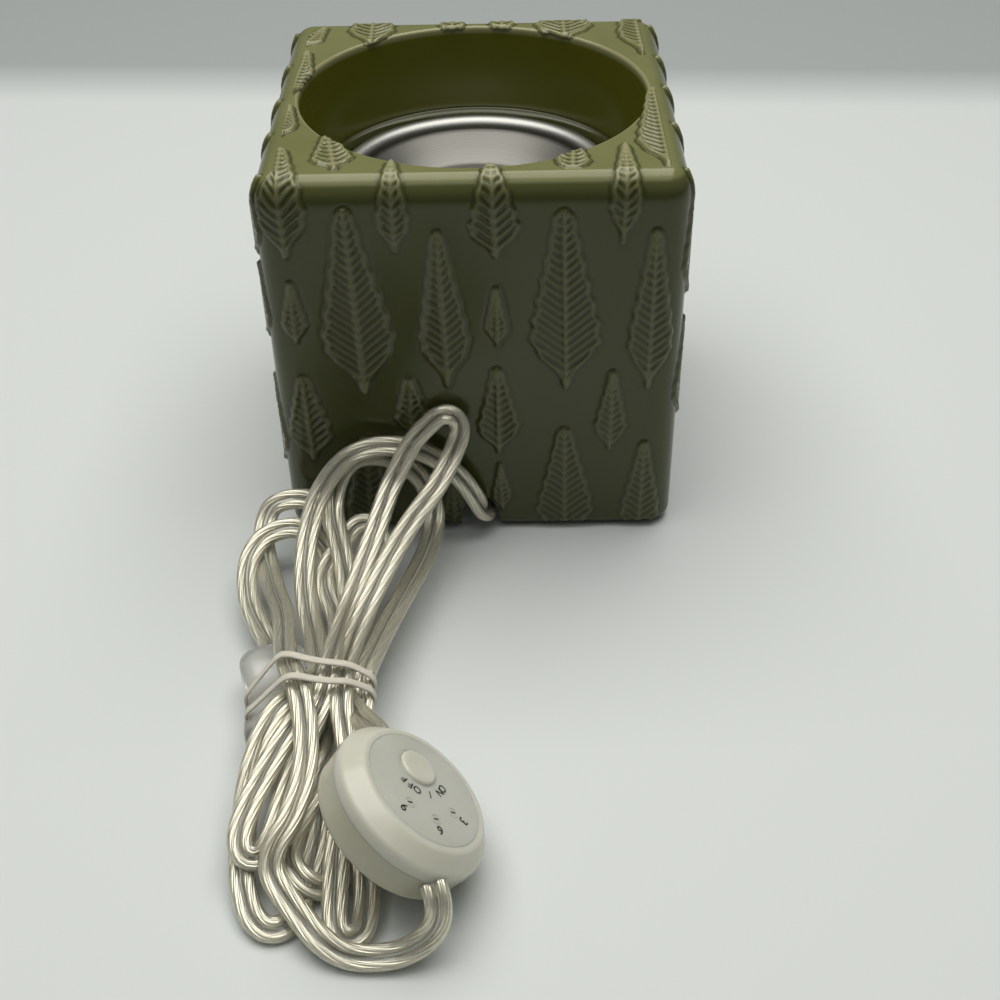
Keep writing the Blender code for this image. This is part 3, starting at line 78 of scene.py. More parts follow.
# Cube, in millimetres
HALF = 62.5
CORNER = 8.0
FLAT = HALF - CORNER
BOTTOM = 1.2
TOP = 125.4
BOTTOM_EDGE = 3.0
TOP_EDGE = 6.5
TOP_DROP = 9.5
TOP_V = TOP - TOP_EDGE + TOP_EDGE * QUARTER
WELL = 54.0
WELL_FOOT = 50.5
LIP = 1.2
LEDGE = 98.0
LEDGE_UNDER = 93.0
LEDGE_FILLET = 0.9
LEDGE_HOLE = 47.5
LEDGE_SOFT = 0.6
WALL = 5.0
NOTCH_HALF = 6.5
NOTCH_TALL = 10.5
NOTCH_POWERS = (2.6, 1.25)
NOTCH_FADE = 34.0
GRID = 0.6
BOTTOM_EDGE_STEPS = 5
TOP_EDGE_STEPS = 22
TOP_STEPS = 30
WELL_STEPS = 20
FILLET_STEPS = 8

# Leaves of one side: (s at stem, v at stem, s at tip, v at tip, width); v runs up the side and over the top
FRONT_LEAVES = (
    (-34.3, 54.7, -36.3, 117.3, 20.5), (-9, 56.8, -10.3, 110.3, 14.3), (27.2, 55.4, 25.8, 116.2, 20.8),
    (52.1, 54.9, 52.4, 109.8, 13.4), (-52.4, 30, -53.2, 62.1, 13.8), (-20.4, 38.1, -21, 60.7, 10),
    (6.3, 31.2, 6.2, 63.8, 13.1), (41.2, 31.7, 41.4, 62.1, 10), (-36.5, -6, -35.5, 38.7, 15),
    (-9, -8, -8.7, 20.6, 10.5), (27.7, -6, 26.8, 41, 18), (51.8, -6, 52.2, 35.4, 12.5),
    (-53.6, 101.9, -55, 144, 14.5), (-22.3, 103.2, -22.7, 135, 9.4), (6.5, 101.1, 5.3, 131.5, 14.3),
    (42.7, 104.9, 44.1, 144, 8.8),
    (-53.5, 73.2, -53.6, 94.7, 7.4), (6.3, 71, 6.3, 91.9, 6.5), (7.2, 8.2, 6.5, 27.6, 6.5),
)
SIDE_LEAVES = (
    (-38, 60, -37, 116, 17), (-12, 54, -11, 112, 19.5), (16, 66, 16.5, 112, 11),
    (40, 56, 39, 117, 19), (-54.5, 84, -54, 124, 11), (-54, 40, -53.5, 76, 13),
    (-24.5, 34, -24, 58, 10), (3, 28, 3.5, 58, 13), (27.5, 36, 27, 60, 9.5),
    (54.5, 24, 54, 58, 12), (-40, -6, -39, 42, 17), (-14, -8, -13.5, 26, 12),
    (16, -8, 16.5, 24, 10.5), (37, -6, 36, 42, 17.5),
    (56, 72, 55.5, 98, 8), (-25, 94, -24.5, 125, 9), (28, 92, 27.5, 125, 9),
    (3.5, 92, 3, 125, 9), (56, 100, 55.5, 125, 9),
)
BACK_LEAVES = (
    (-29, 44, -28, 92, 20), (-3, 50, -2, 104, 15), (22, 46, 21, 110, 18),
    (46, 52, 45.5, 100, 13), (-51.5, 58, -51, 92, 12), (-46, 24, -45.5, 54, 13),
    (-14.5, 30, -14, 54, 9.5), (9.5, 24, 9, 52, 12), (34, 28, 33.5, 56, 12.5),
    (-30, -6, -29, 36, 17), (-4, -8, -3.5, 26, 11), (22, -6, 21.5, 36, 15),
    (47, -6, 46.5, 40, 14), (-30.3, 146, -30.3, 100, 18.5), (34.6, 147, 34.8, 102, 15),
    (-55, 158, -55, 100, 13), (-9.4, 137, -9.4, 108, 9), (7.6, 137, 7.6, 110, 9),
    (57, 72, 56.5, 96, 7.5), (54.5, 122, 54, 98, 7),
)
# Leaves of the top face: (x, y at stem, x, y at tip, width)
TOP_LEAVES = (
    (-56.4, -0.5, -54.6, 33, 10.5), (-38.4, -55, -42.5, -31, 11.5), (55.5, -56, 55.6, -2, 15),
    (-56.4, -32, -55.6, -10.5, 8), (28.2, -59, 29.6, -36, 9.5), (-56.3, 39, -50.5, 55, 7.5),
)
LEAF_STATIONS = (0.0, 0.015, 0.07, 0.12, 0.19, 0.27, 0.34, 0.46, 0.6, 0.74, 0.86, 0.94, 0.975, 0.992, 1.0)
LEAF_WIDTHS = (0.02, 0.12, 0.17, 0.36, 0.74, 0.98, 1.0, 0.87, 0.69, 0.52, 0.39, 0.31, 0.25, 0.17, 0.02)

# Relief of a leaf, in millimetres inwards from its outline: an edge is a range, a band a middle and a width
LEAF_HEIGHT = 0.62
LEAF_EDGE = (-0.35, 0.80)
RIM_HEIGHT = 0.3
RIM_BAND = (0.85, 0.55)
MIDRIB_HEIGHT = 0.34
MIDRIB_WIDTH = 0.7
VEIN_HEIGHT = 0.5
VEIN_PITCH = 2.9
FIELD_EDGE = (0.9, 1.7)
FIELD_DEPTH = 0.34
MOAT_BAND = (-0.65, 0.4)
MOAT_DEPTH = 0.14
GROOVE_BAND = (-0.50, 0.45)
SCALLOP_PITCH = 2.2
FULL_WIDTH = 22
LEAF_MARGIN = 3
LEAF_REACH = 2.5
CORNER_REACH = 14
FOOT_FADE = 3.5
# Slopes, shares and phases of the same relief
STEM_TAPER = 1.6
TIP_TAPER = 1.4
VEIN_SLOPE = 0.85
LEAF_SPREAD = 0.6
SMALL_LEAF = 0.45
SCALLOP_DEPTH = 0.055
SCALLOP_GROWTH = 0.075
SCALLOP_SHARES = (0.15, 0.3)
SCALLOP_SHIFT = 1.4
SEED_STEP = 1.7
RIDGE_SHARES = (0.80, 0.8, 0.75)
GROOVE_SHARES = (0.85, 0.90)
LIP_TILT = 0.3

# Glaze: colours by thickness over ridges and in grooves, painted shade on the sides, in the well and at the
# well's foot, and the heights v between which the painted side shade sets in below the top edge
GLAZE_DARK = (0.16, 0.165, 0.058)
GLAZE_LIGHT = (0.195, 0.2, 0.076)
# The side and well layers are painted shade
GLAZE_LAYERS = (("side", (0.042, 0.047, 0.011)), ("well", (0.098, 0.102, 0.011)),
                ("crest", (0.3, 0.295, 0.15)), ("pool", (0.026, 0.028, 0.006)))
GLAZE_SHEEN = (1.0, 1.0, 0.86, 1.0)
SIDE_SHADE_START = (124.4, 122.6)
SIDE_SHADE_FULL = (122.0, 118.5)
SIDE_SHADE_SHARES = (0.7, 0.3)
# How far the painted side shade also darkens the pale ridges
SIDE_SHADE_ON_CREST = 0.76
LIP_CREST = 0.75
# Painted shade where the well's foot meets the ledge, in the pool colour
LEDGE_SHADE = 0.85

# Dish profile: (radius, height) in millimetres
DISH_FLOOR = 87.4
DISH_FLOOR_RINGS = (0, 20.0, 24.6)
DISH_FLOOR_UNDER = 25.4
DISH_SHEET = 0.9
DISH_WALL_SHIFT = 0.6
DISH_RIM = 45.8
DISH_SKIRT = 1.0
DISH_THROAT = 38.8
DISH_RIM_TOP = 98.7
DISH_WALL = ((27.5, 87.42), (28.6, 87.65), (30.0, 88.4), (34.0, 91.6), (37.6, 94.4), (38.5, 95.2))
DISH_ROLL_START = 172
# Dish colours: the metal darkened as painted shade, the roll brighter as painted highlight
DISH_SHADED_DARK = (0.158, 0.155, 0.138)
DISH_SHADED_LIGHT = (0.188, 0.185, 0.166)
DISH_ROLL_HIGHLIGHT = (0.42, 0.416, 0.39)
DISH_HIGHLIGHT_FADE = 0.8

# Timer's own frame in metres and degrees, as in the solids, then its sizes in millimetres
TIMER_AT = (-0.0176, -0.1957, 0.0219)
TIMER_TILT = 42.0
TIMER_HEADING = 13.0
TIMER_SPIN = 97.6
TIMER_RADIUS = 22.7
TIMER_FACE = 7.5
TIMER_UNDER = 9.2
BUTTON_AT = 6.5
LED_CIRCLE = 9.1
LED_ANGLES = (128, 180, 232)
SLIT_STRETCH = (0.55, 2.0, 1.0, 1.0)
PRINT_AT = 7.53
PRINT_THICK = 0.012
PRINT_BOLD = 0.045
NUMBERS = "963"
NUMBER_SIZE = 3.7
NUMBER_CIRCLE = 12.4
WORD = "ON / OFF"
WORD_SIZE = 3.1
WORD_CIRCLE = 8.0
WORD_SPAN = 104

# Flat twin cord, in millimetres
LOBE = 1.7
LOBE_AT = 1.7
LOBE_SWEEP = 142
CORE = 1.15
CORE_RIPPLE = (0.9, 0.1)
CORE_STRANDS = 9
STRAND_POINTS = 4
CORE_LAY = 75.0
CORD_STEP = 2.5
CORD_FACING = np.array((0.0, -0.55, 0.83))
FACING_ROUNDS = 80
CURVE_STEPS = 14

# How the strands settle: distances in millimetres that they keep, the notch's y and z, and strengths
CORD_APART = 4.3
SAME_RUN = 22
CORD_HIGH = 2.7
FLOOR_GAP = 0.1
WALL_CLEAR = -66.4
NOTCH_ROOM = (-63.5, 14)
PLUG_CLEAR = 2.3
TIMER_CLEAR = 2.4
SETTLE_ROUNDS = 90
STRAND_PUSH = 0.45
SOLID_PUSH = 0.6
PULL_BACK = 0.997
EASE_POINTS = 6
HELD_ENDS = ((14, 5), (4, 6))

# Route from the crimps in the cube to the timer, given point by point
LEAD_ROUTE = (
    (0, -30.8, 7.6), (0, -40, 7.6), (0.5, -52, 6.6), (1.5, -62, 6.2), (0.6, -66.5, 11), (-2, -67.5, 18),
    (-7, -67.5, 26.5), (-17, -68, 36), (-30, -69, 39.5), (-41, -71, 36.5), (-49, -76, 28.5), (-53, -87, 21),
    (-54, -102, 15), (-52.5, -119, 12), (-50, -132, 12), (-48, -143, 13), (-49.5, -151, 16),
    (-54, -159, 18.5), (-57, -167, 17.5), (-58.5, -177, 15), (-59.2, -185, 12), (-59.5, -193, 9),
    (-59.4, -201, 7), (-58, -208, 5), (-55, -214.5, 4), (-51, -217.5, 3.2), (-47, -216.5, 3),
    (-44.3, -212, 3), (-43, -205, 3.4), (-42, -195, 4.5), (-42, -182, 5.5), (-42.5, -165, 6),
    (-43, -146, 5.5), (-40, -130, 6), (-36, -115, 7), (-32.5, -100, 9), (-30.8, -89, 12.5),
    (-31.6, -83.6, 15.3), (-34.6, -80, 16.8), (-38.8, -80.8, 16.8), (-42, -87, 15), (-46, -95, 13.5),
    (-47, -102, 12.5), (-45, -109, 11.5), (-42, -116, 11), (-40, -126, 11.5), (-38.5, -138, 12.5),
    (-36.5, -149, 13.5), (-34, -157, 16), (-30.7, -164.5, 20), (-27.4, -170.5, 23), (-25.3, -174.3, 23.9),
    (-23.7, -177.6, 23.6),
)
# Route from the timer through the hank to the plug, given point by point
PLUG_ROUTE = (
    (-11.5, -213.8, 20.2), (-10.4, -217.1, 19.9), (-9.2, -220.6, 17.6), (-9.6, -222.8, 12.8),
    (-12.5, -224, 8), (-17.5, -225, 4.8), (-24, -225, 3.2), (-31, -224, 3.2), (-38, -221, 5.5),
    (-44, -215, 7), (-49, -209, 7.5), (-52.2, -204, 9), (-51.5, -199, 12), (-48, -193, 14.5),
    (-45.5, -183, 16.5), (-45.5, -172, 18), (-47.5, -161, 19), (-50.5, -152, 19.8), (-53.5, -144, 19.5),
    (-55, -136, 17), (-56.5, -126, 13.5), (-59, -114, 11.5), (-62.5, -104, 11), (-65, -95, 11),
    (-67.5, -87, 11.5), (-68.8, -80, 12.5), (-68.5, -73.5, 15), (-66, -70, 18), (-60, -68.8, 19.3),
    (-54.5, -69, 19.3), (-50, -71, 18.3), (-47, -76, 16.5), (-44, -87, 15), (-41, -99, 12.5),
    (-39, -113, 10), (-38, -130, 8.5), (-37.5, -146, 8), (-40, -165, 7.5), (-44, -180, 6.5),
    (-47.5, -191, 6), (-48.5, -198, 5), (-45.5, -204, 4), (-41, -206.5, 3.4), (-36.5, -204.5, 3.6),
    (-34.8, -197, 5.5), (-34.5, -182, 8), (-35.5, -165, 10.5), (-36.8, -148, 12.8), (-37.5, -133, 13),
    (-38.5, -121, 13.5), (-40, -109, 14.5), (-41, -101, 15.5), (-43, -92, 17), (-44.5, -86, 18.5),
    (-46, -77, 22), (-44, -70.5, 28.5), (-39, -67.8, 33.5), (-32, -67.2, 34.5), (-26, -67.2, 32.5),
    (-20, -68, 28), (-16.5, -70, 22.5), (-14.5, -75, 16.5), (-15.5, -84, 13.5), (-18.5, -96, 13.3),
    (-23, -110, 14), (-27, -122, 14.5), (-30.5, -134, 16), (-34, -147, 17.3), (-34.5, -162, 14.5),
    (-35.2, -180, 10), (-35.6, -198, 6.2), (-35.6, -210, 5), (-35.2, -217, 4), (-33.4, -221.4, 3.4),
    (-30.4, -221.8, 3.4), (-28.2, -217.6, 3.4), (-28.1, -208.5, 4.2), (-29.6, -198, 7), (-32.5, -180, 12),
    (-35.5, -162, 16), (-37.5, -147, 18), (-36.5, -136, 18.5), (-33, -122, 20), (-27, -106, 24),
    (-20.5, -92, 28), (-13, -80, 32), (-8, -71.5, 38), (-5.6, -68, 44), (-6.8, -67, 48.5),
    (-10.5, -66.8, 49.8), (-15, -67.5, 46.5), (-20.5, -70.5, 41.5), (-25.5, -77, 34.5), (-28, -82, 31),
    (-33, -100, 24), (-37, -117, 20), (-39.5, -131, 18.5), (-42, -146, 17.5), (-46, -160, 13.5),
    (-49.5, -174, 10.5), (-51, -186, 9.5), (-52, -195, 9), (-54.3, -200.5, 9), (-58, -201.3, 9.5),
    (-60.6, -196.5, 10.5), (-60, -189, 12), (-57.3, -179, 13), (-52, -166, 14), (-46, -152, 12.5),
    (-42.5, -140, 10.5), (-41.5, -123, 9.5), (-43, -105, 9), (-45.5, -94, 10.5), (-48, -87, 12.5),
    (-52, -82.2, 14.5), (-57, -80, 16), (-63, -80.5, 15.5), (-67.5, -83.5, 14.8), (-71, -89.5, 13),
    (-71.5, -98, 11.2), (-69.5, -108, 9.8), (-65.5, -117, 9.2), (-61.8, -124, 9), (-60.5, -129.5, 9),
)

# Plug, in millimetres: cord end, sizes, then (share of the length, half width, half thickness)
PLUG_AT = (-60.5, -127.5, 9.0)
PLUG_TURN = 11.0
PLUG_LONG = 34.0
PLUG_THICK = 12.5
PLUG_HALF = 10.3
PLUG_SIDES = 48
PLUG_BODY = ((0.0, 4.0, 3.4), (0.02, 4.6, 3.8), (0.06, 7.6, 5.0), (0.11, 9.4, 5.8), (0.18, 10.0, 6.2),
             (0.26, 9.6, 6.2), (0.36, 8.9, 5.9), (0.48, 8.3, 5.6), (0.6, 8.3, 5.6), (0.72, 8.9, 5.9),
             (0.84, 9.8, 6.2), (0.93, 10.1, 6.2), (0.98, 9.9, 6.0), (1.0, 9.3, 5.5))
PLUG_BODY_ROUND = 0.55
PLUG_BRIDGE = ((0.5, 5.6, 2.2), (0.53, 6.6, 3.0), (0.86, 7.4, 3.4), (0.9, 7.0, 3.0))
PLUG_BRIDGE_ROUND = 0.35

# Rubber band: y of each wrap over x, then sizes, in millimetres
BAND_XS = (-73.0, -54.0, -29.0)
BAND_WRAPS = ((-155.0, -145.5, -147.5), (-160.0, -154.5, -152.0))
BAND_THICK = 0.9
BAND_WIDE = 2.3
BAND_EDGE = 0.4
BAND_NEAR = 3.0
BAND_OFF_STRAND = 3.0
BAND_LOW = (0.75, 0.2)
BAND_ON_PLUG = (8.9, 0.3)
BAND_STEPS = 160
BAND_ROUNDS = 5
BAND_WAVE = (0.5, 0.16)

# Mottled looks: name, dark, light, roughness range, metallic, grain, bump, stretch of the grain
STRANDS = ("tinned_strands", (0.8, 0.775, 0.66), (0.95, 0.93, 0.82), (0.16, 0.26), 0.65, 900, 0.1)
INK = ("print_ink", (0.01, 0.01, 0.01), (0.025, 0.025, 0.025), (0.5, 0.7), 0.0, 1500)
BAND = ("band_look", (0.6, 0.56, 0.46), (0.72, 0.68, 0.58), (0.5, 0.7), 0.0, 350, 0.25, (1, 6, 1))
BRIDGE = ("bridge_look", (0.7, 0.69, 0.62), (0.8, 0.79, 0.72), (0.4, 0.6), 0.0, 400)
# The same for the carried-over nodes, by their slot in the record
SLOT_LOOKS = {
    "satin_aluminium": ("plate_aluminium", (0.62, 0.62, 0.61), (0.78, 0.78, 0.77), (0.25, 0.42), 1.0, 900),
    "plated_steel": ("plated_steel_look", (0.48, 0.49, 0.5), (0.62, 0.63, 0.64), (0.25, 0.45), 1.0, 700),
    "dark_steel": ("coated_steel", (0.035, 0.035, 0.037), (0.06, 0.06, 0.062), (0.4, 0.6), 0.0, 1200, 0.3),
    "screw_steel": ("screw_look", (0.38, 0.38, 0.39), (0.52, 0.52, 0.53), (0.3, 0.5), 1.0, 900),
    "brass": ("brass_look", (0.62, 0.45, 0.18), (0.74, 0.56, 0.25), (0.2, 0.4), 1.0, 600, 0.08, (8, 1, 8)),
    "foot_rubber": ("rubber_look", (0.018, 0.018, 0.018), (0.034, 0.034, 0.034), (0.7, 0.9), 0.0, 900, 0.3),
    "mica_sheet": ("mica_look", (0.42, 0.35, 0.24), (0.6, 0.53, 0.4), (0.35, 0.6), 0.0, 250),
    "heating_strip": ("element_look", (0.26, 0.21, 0.17), (0.42, 0.36, 0.3), (0.4, 0.6), 0.6, 300),
    "steatite": ("steatite_look", (0.76, 0.74, 0.68), (0.84, 0.82, 0.76), (0.5, 0.7), 0.0, 500),
    "fuse_case": ("fuse_look", (0.68, 0.64, 0.52), (0.8, 0.76, 0.64), (0.3, 0.45), 0.6, 500),
    "crimp_sleeve": ("sleeve_look", (0.035, 0.05, 0.13), (0.06, 0.08, 0.18), (0.4, 0.6), 0.0, 500),
    "glass_fibre_sleeve": ("fibre_look", (0.66, 0.63, 0.54), (0.86, 0.84, 0.77), (0.7, 0.9), 0.0, 1500, 0.5),
    "black_plastic": ("black_look", (0.014, 0.014, 0.014), (0.028, 0.028, 0.028), (0.4, 0.55), 0.0, 1200),
    "board_green": ("board_look", (0.02, 0.12, 0.05), (0.04, 0.19, 0.09), (0.3, 0.5), 0.0, 600),
    "led_clear": ("led_look", (0.74, 0.74, 0.68), (0.86, 0.86, 0.8), (0.1, 0.25), 0.0, 600),
}
# Milky plastics: name, dark, light; clear ones: name, tint, roughness, clearness
MILKY_SHELL = ("milky_shell", (0.62, 0.61, 0.505), (0.69, 0.68, 0.575))
# The lower shell's plastic: warmer, and darker as painted shade for its downward face
MILKY_BASE_SHADED = ("milky_base_shaded", (0.45, 0.43, 0.315), (0.53, 0.51, 0.39))
LABEL_FILM = ("label_film_look", (0.54, 0.545, 0.465), (0.6, 0.605, 0.525))
CLEAR_JACKET = ("clear_jacket", (0.985, 0.965, 0.87), 0.03, 0.93)
CLEAR_PLUG = ("clear_plug", (0.93, 0.93, 0.88), 0.1, 0.7)

# Sockets of a colour mix, and the stops of a mottled ramp
MIX_UNDER, MIX_OVER, MIX_RESULT = 6, 7, 2
MOTTLE = (0.3, 0.7)


def nodes_of(name):
    made = bpy.data.materials.new(name)
    made.use_nodes = True
    tree = made.node_tree
    return made, tree, tree.nodes["Principled BSDF"]


def fill(made, **values):
    """Sets a node's sockets or settings by name, or feeds its sockets from others."""
    for key, value in values.items():
        socket = key.replace("_", " ")
        if isinstance(value, bpy.types.NodeSocket):
            made.id_data.links.new(value, made.inputs[socket])
        elif socket in made.inputs:
            made.inputs[socket].default_value = value
        else:
            setattr(made, key, value)
    return made


def node(tree, kind, **values):
    return fill(tree.nodes.new(kind), **values)


def mottled(tree, source, dark, light, stops=MOTTLE):
    """Colour between dark and light by a value from 0 to 1."""
    made = node(tree, "ShaderNodeValToRGB", Fac=source)
    for element, at, colour in zip(made.color_ramp.elements, stops, (dark, light)):
        element.position = at
        element.color = (*colour, 1.0)
    return made.outputs["Color"]


def spread(tree, source, to, given=(0.0, 1.0)):
    """A value mapped from one range to another."""
    made = node(tree, "ShaderNodeMapRange", Value=source, From_Min=given[0], From_Max=given[1],
                To_Min=to[0], To_Max=to[1])
    return made.outputs["Result"]


def noise(tree, scale, detail=3.0, stretch=(1, 1, 1)):
    coordinate = node(tree, "ShaderNodeTexCoord")
    mapping = node(tree, "ShaderNodeMapping", Vector=coordinate.outputs["Object"], Scale=stretch)
    made = node(tree, "ShaderNodeTexNoise", Vector=mapping.outputs["Vector"], Scale=scale, Detail=detail)
    return made.outputs["Fac"]


def axes(tree):
    """The object's own X, Y and Z."""
    coordinate = node(tree, "ShaderNodeTexCoord")
    return node(tree, "ShaderNodeSeparateXYZ", Vector=coordinate.outputs["Object"]).outputs


def reckon(tree, operation, *sources):
    """The result of a sum on sockets or plain numbers."""
    made = node(tree, "ShaderNodeMath", operation=operation)
    for socket, source in zip(made.inputs, sources):
        if isinstance(source, float):
            socket.default_value = source
        else:
            tree.links.new(source, socket)
    return made.outputs[0]


def bump(tree, shader, source, strength, distance):
    made = node(tree, "ShaderNodeBump", Height=source, Strength=strength, Distance=distance)
    fill(shader, Normal=made.outputs["Normal"])


def mixed(tree, share, colour, layer):
    """The colour with another laid over it by a share from 0 to 1."""
    mix = node(tree, "ShaderNodeMix", data_type="RGBA", Factor=share)
    tree.links.new(colour, mix.inputs[MIX_UNDER])
    mix.inputs[MIX_OVER].default_value = (*layer, 1.0)
    return mix.outputs[MIX_RESULT]


def dressed(name, dark, light, rough, metallic, scale, bump_strength=0.15, stretch=(1, 1, 1)):
    """A material with fine mottled colour, uneven roughness and a slight texture."""
    made, tree, shader = nodes_of(name)
    grain = noise(tree, scale, 4.0, stretch)
    uneven = spread(tree, noise(tree, scale * 0.4, 3.0, stretch), rough)
    fill(shader, Base_Color=mottled(tree, grain, dark, light), Roughness=uneven, Metallic=metallic)
    bump(tree, shader, grain, bump_strength, 0.0001)
    return made


def glaze_material():
    """Olive glaze with painted shade, dark on the sides and in the well; pale over ridges, pooled in
    grooves.
    """
    made, tree, shader = nodes_of("olive_glaze_look")
    colour = mottled(tree, noise(tree, 38.0, 4.0), GLAZE_DARK, GLAZE_LIGHT, (0.25, 0.75))
    for attribute, layer in GLAZE_LAYERS:
        share = node(tree, "ShaderNodeAttribute", attribute_name=attribute)
        colour = mixed(tree, share.outputs["Fac"], colour, layer)
    uneven = spread(tree, noise(tree, 90.0, 3.0), (0.13, 0.24))
    fill(shader, Base_Color=colour, Roughness=uneven, IOR=1.52, Specular_Tint=GLAZE_SHEEN)
    bump(tree, shader, noise(tree, 260.0, 2.0), 0.06, 0.0004)
    return made


def dish_material():
    """Spun satin aluminium: fine rings about the axis, the metal darkened as painted shade and the roll
    brightened as painted highlight.
    """
    made, tree, shader = nodes_of("dish_look")
    at = axes(tree)
    squares = [reckon(tree, "MULTIPLY", at[axis], at[axis]) for axis in "XY"]
    radius = reckon(tree, "SQRT", reckon(tree, "ADD", *squares))
    spun = node(tree, "ShaderNodeTexNoise", noise_dimensions="1D", W=radius, Scale=2600.0, Detail=3.0)
    rings = spun.outputs["Fac"]
    wall = mottled(tree, rings, DISH_SHADED_DARK, DISH_SHADED_LIGHT)
    # Share of the painted highlight on the roll
    roll = spread(tree, radius, (0.0, 1.0), (DISH_THROAT * MM, (DISH_THROAT + DISH_HIGHLIGHT_FADE) * MM))
    colour = mixed(tree, roll, wall, DISH_ROLL_HIGHLIGHT)
    fill(shader, Base_Color=colour, Roughness=spread(tree, rings, (0.38, 0.46)), Metallic=1.0)
    bump(tree, shader, rings, 0.05, 0.00003)
    return made


def clear_material(name, tint, roughness, clearness):
    """Clear soft plastic, a little milky in itself."""
    made, tree, shader = nodes_of(name)
    uneven = spread(tree, noise(tree, 700.0, 2.0), (roughness * 0.6, roughness * 1.6))
    fill(shader, Base_Color=(*tint, 1.0), Roughness=uneven, Transmission_Weight=clearness, IOR=1.47)
    return made


def milky_material(name, dark, light):
    """Milky moulded plastic with light scattered inside."""
    made, tree, shader = nodes_of(name)
    colour = mottled(tree, noise(tree, 60.0, 3.0), dark, light)
    uneven = spread(tree, noise(tree, 500.0, 2.0), (0.18, 0.28))
    fill(shader, Base_Color=colour, Roughness=uneven, Subsurface_Weight=0.55,
         Subsurface_Radius=(1.0, 0.9, 0.7), Subsurface_Scale=0.004)
    bump(tree, shader, noise(tree, 900.0, 2.0), 0.04, 0.0002)
    return made


def add_object(name, data):
    made = bpy.data.objects.new(name, data)
    bpy.context.scene.collection.objects.link(made)
    return made


def grid_object(name, rows, look, close_rows=False):
    """A mesh from rows of points, each row a closed ring."""
    count, columns = rows.shape[0], rows.shape[1]
    index = np.arange(count * columns).reshape(count, columns)
    lower = index if close_rows else index[:-1]
    upper = np.roll(index, -1, 0) if close_rows else index[1:]
    quads = np.stack([lower, np.roll(lower, -1, 1), np.roll(upper, -1, 1), upper], -1).reshape(-1, 4)
    mesh = bpy.data.meshes.new(name)
    mesh.vertices.add(count * columns)
    mesh.vertices.foreach_set("co", rows.reshape(-1).astype(np.float32))
    mesh.loops.add(quads.size)
    mesh.loops.foreach_set("vertex_index", quads.reshape(-1).astype(np.int32))
    mesh.polygons.add(len(quads))
    mesh.polygons.foreach_set("loop_start", np.arange(0, quads.size, 4, dtype=np.int32))
    mesh.update(calc_edges=True)
    mesh.validate()
    mesh.materials.append(look)
    mesh.shade_smooth()
    return add_object(name, mesh)


def mended(made, cap=False, merge=0.0):
    """The piece with open rings filled or close points merged, and its faces turned outward."""
    bm = bmesh.new()
    bm.from_mesh(made.data)
    if cap:
        bmesh.ops.holes_fill(bm, edges=[e for e in bm.edges if e.is_boundary], sides=0)
    if merge:
        bmesh.ops.remove_doubles(bm, verts=bm.verts, dist=merge)
    bmesh.ops.recalc_face_normals(bm, faces=bm.faces)
    bm.to_mesh(made.data)
    bm.free()
    return made


def lathe(name, profile, look, sides=96, matrix=None):
    """A turned piece from (radius, height) in millimetres."""
    angles = 2 * np.pi * np.arange(sides) / sides
    rows = np.array([[(max(r, 0.01) * math.cos(a), max(r, 0.01) * math.sin(a), z) for a in angles]
                     for r, z in profile]) * MM
    made = mended(grid_object(name, rows, look), merge=0.03 * MM)
    made.data.set_sharp_from_angle(angle=math.radians(50))
    if matrix is not None:
        made.data.transform(matrix)
    return made


def arc(centre, radius, start, end, steps):
    angles = np.radians(np.linspace(start, end, steps + 1))
    return [(centre[0] + radius * math.cos(a), centre[1] + radius * math.sin(a)) for a in angles]


def smoothstep(low, high, value):
    t = np.clip((value - low) / (high - low), 0, 1)
    return t * t * (3 - 2 * t)


def band(value, middle, width):
    """Bell curve about a middle."""
    return np.exp(-((value - middle) / width) ** 2)


def unit(vectors):
    return vectors / np.linalg.norm(vectors, axis=1)[:, None]


def run_along(line):
    """Distance from the first point to each point of a line."""
    return np.concatenate([[0], np.cumsum(np.linalg.norm(np.diff(line, axis=0), axis=1))])


def evenly(line, count, last=True):
    """A number of evenly spaced points on a line, with or without its last one."""
    run = run_along(line)
    at = np.linspace(0, run[-1], count, endpoint=last)
    return np.stack([np.interp(at, run, column) for column in line.T], 1)


def leaf_relief(along, across, length, width, seed):
    """Height, ridge and groove of one leaf, from distances along its rib from the stem and across it."""
    share = along / length
    half = width / 2 * np.interp(share, LEAF_STATIONS, LEAF_WIDTHS)
    pitch = SCALLOP_GROWTH * length + SCALLOP_PITCH
    scallop = np.sin(2 * np.pi * along / pitch + seed + np.where(across > 0, SCALLOP_SHIFT, 0.0))
    half = half * (1 + SCALLOP_DEPTH * scallop * smoothstep(*SCALLOP_SHARES, share))
    from_ends = np.minimum((length - along) * TIP_TAPER, along * STEM_TAPER)
    inside = np.minimum(half - np.abs(across), from_ends)
    plateau = smoothstep(*LEAF_EDGE, inside)
    rim = band(inside, *RIM_BAND)
    size = min(1.0, SMALL_LEAF + width / FULL_WIDTH)
    field = smoothstep(*FIELD_EDGE, inside)
    midrib = band(across, 0.0, MIDRIB_WIDTH) * plateau
    phase = (along - VEIN_SLOPE * np.abs(across)) / (VEIN_PITCH * size)
    vein = (0.5 + 0.5 * np.cos(2 * np.pi * phase)) ** 2.0
    height = LEAF_HEIGHT * plateau + RIM_HEIGHT * rim + MIDRIB_HEIGHT * midrib
    height = height + field * (1 - midrib) * (VEIN_HEIGHT * vein - FIELD_DEPTH)
    height = height - MOAT_DEPTH * band(inside, *MOAT_BAND)
    on_rim, on_midrib, on_vein = RIDGE_SHARES
    ridge = np.clip(on_rim * rim + on_midrib * midrib + on_vein * field * vein ** 1.5, 0, 1) * plateau
    by_vein, by_edge = GROOVE_SHARES
    between = field * (1 - midrib) * (1 - vein) ** 2 * by_vein
    groove = np.clip(between + by_edge * band(inside, *GROOVE_BAND), 0, 1)
    near = inside > -LEAF_REACH
    height = height * (0.6 + 0.4 * size)
    return (np.where(near, values, 0) for values in (height, ridge, groove))


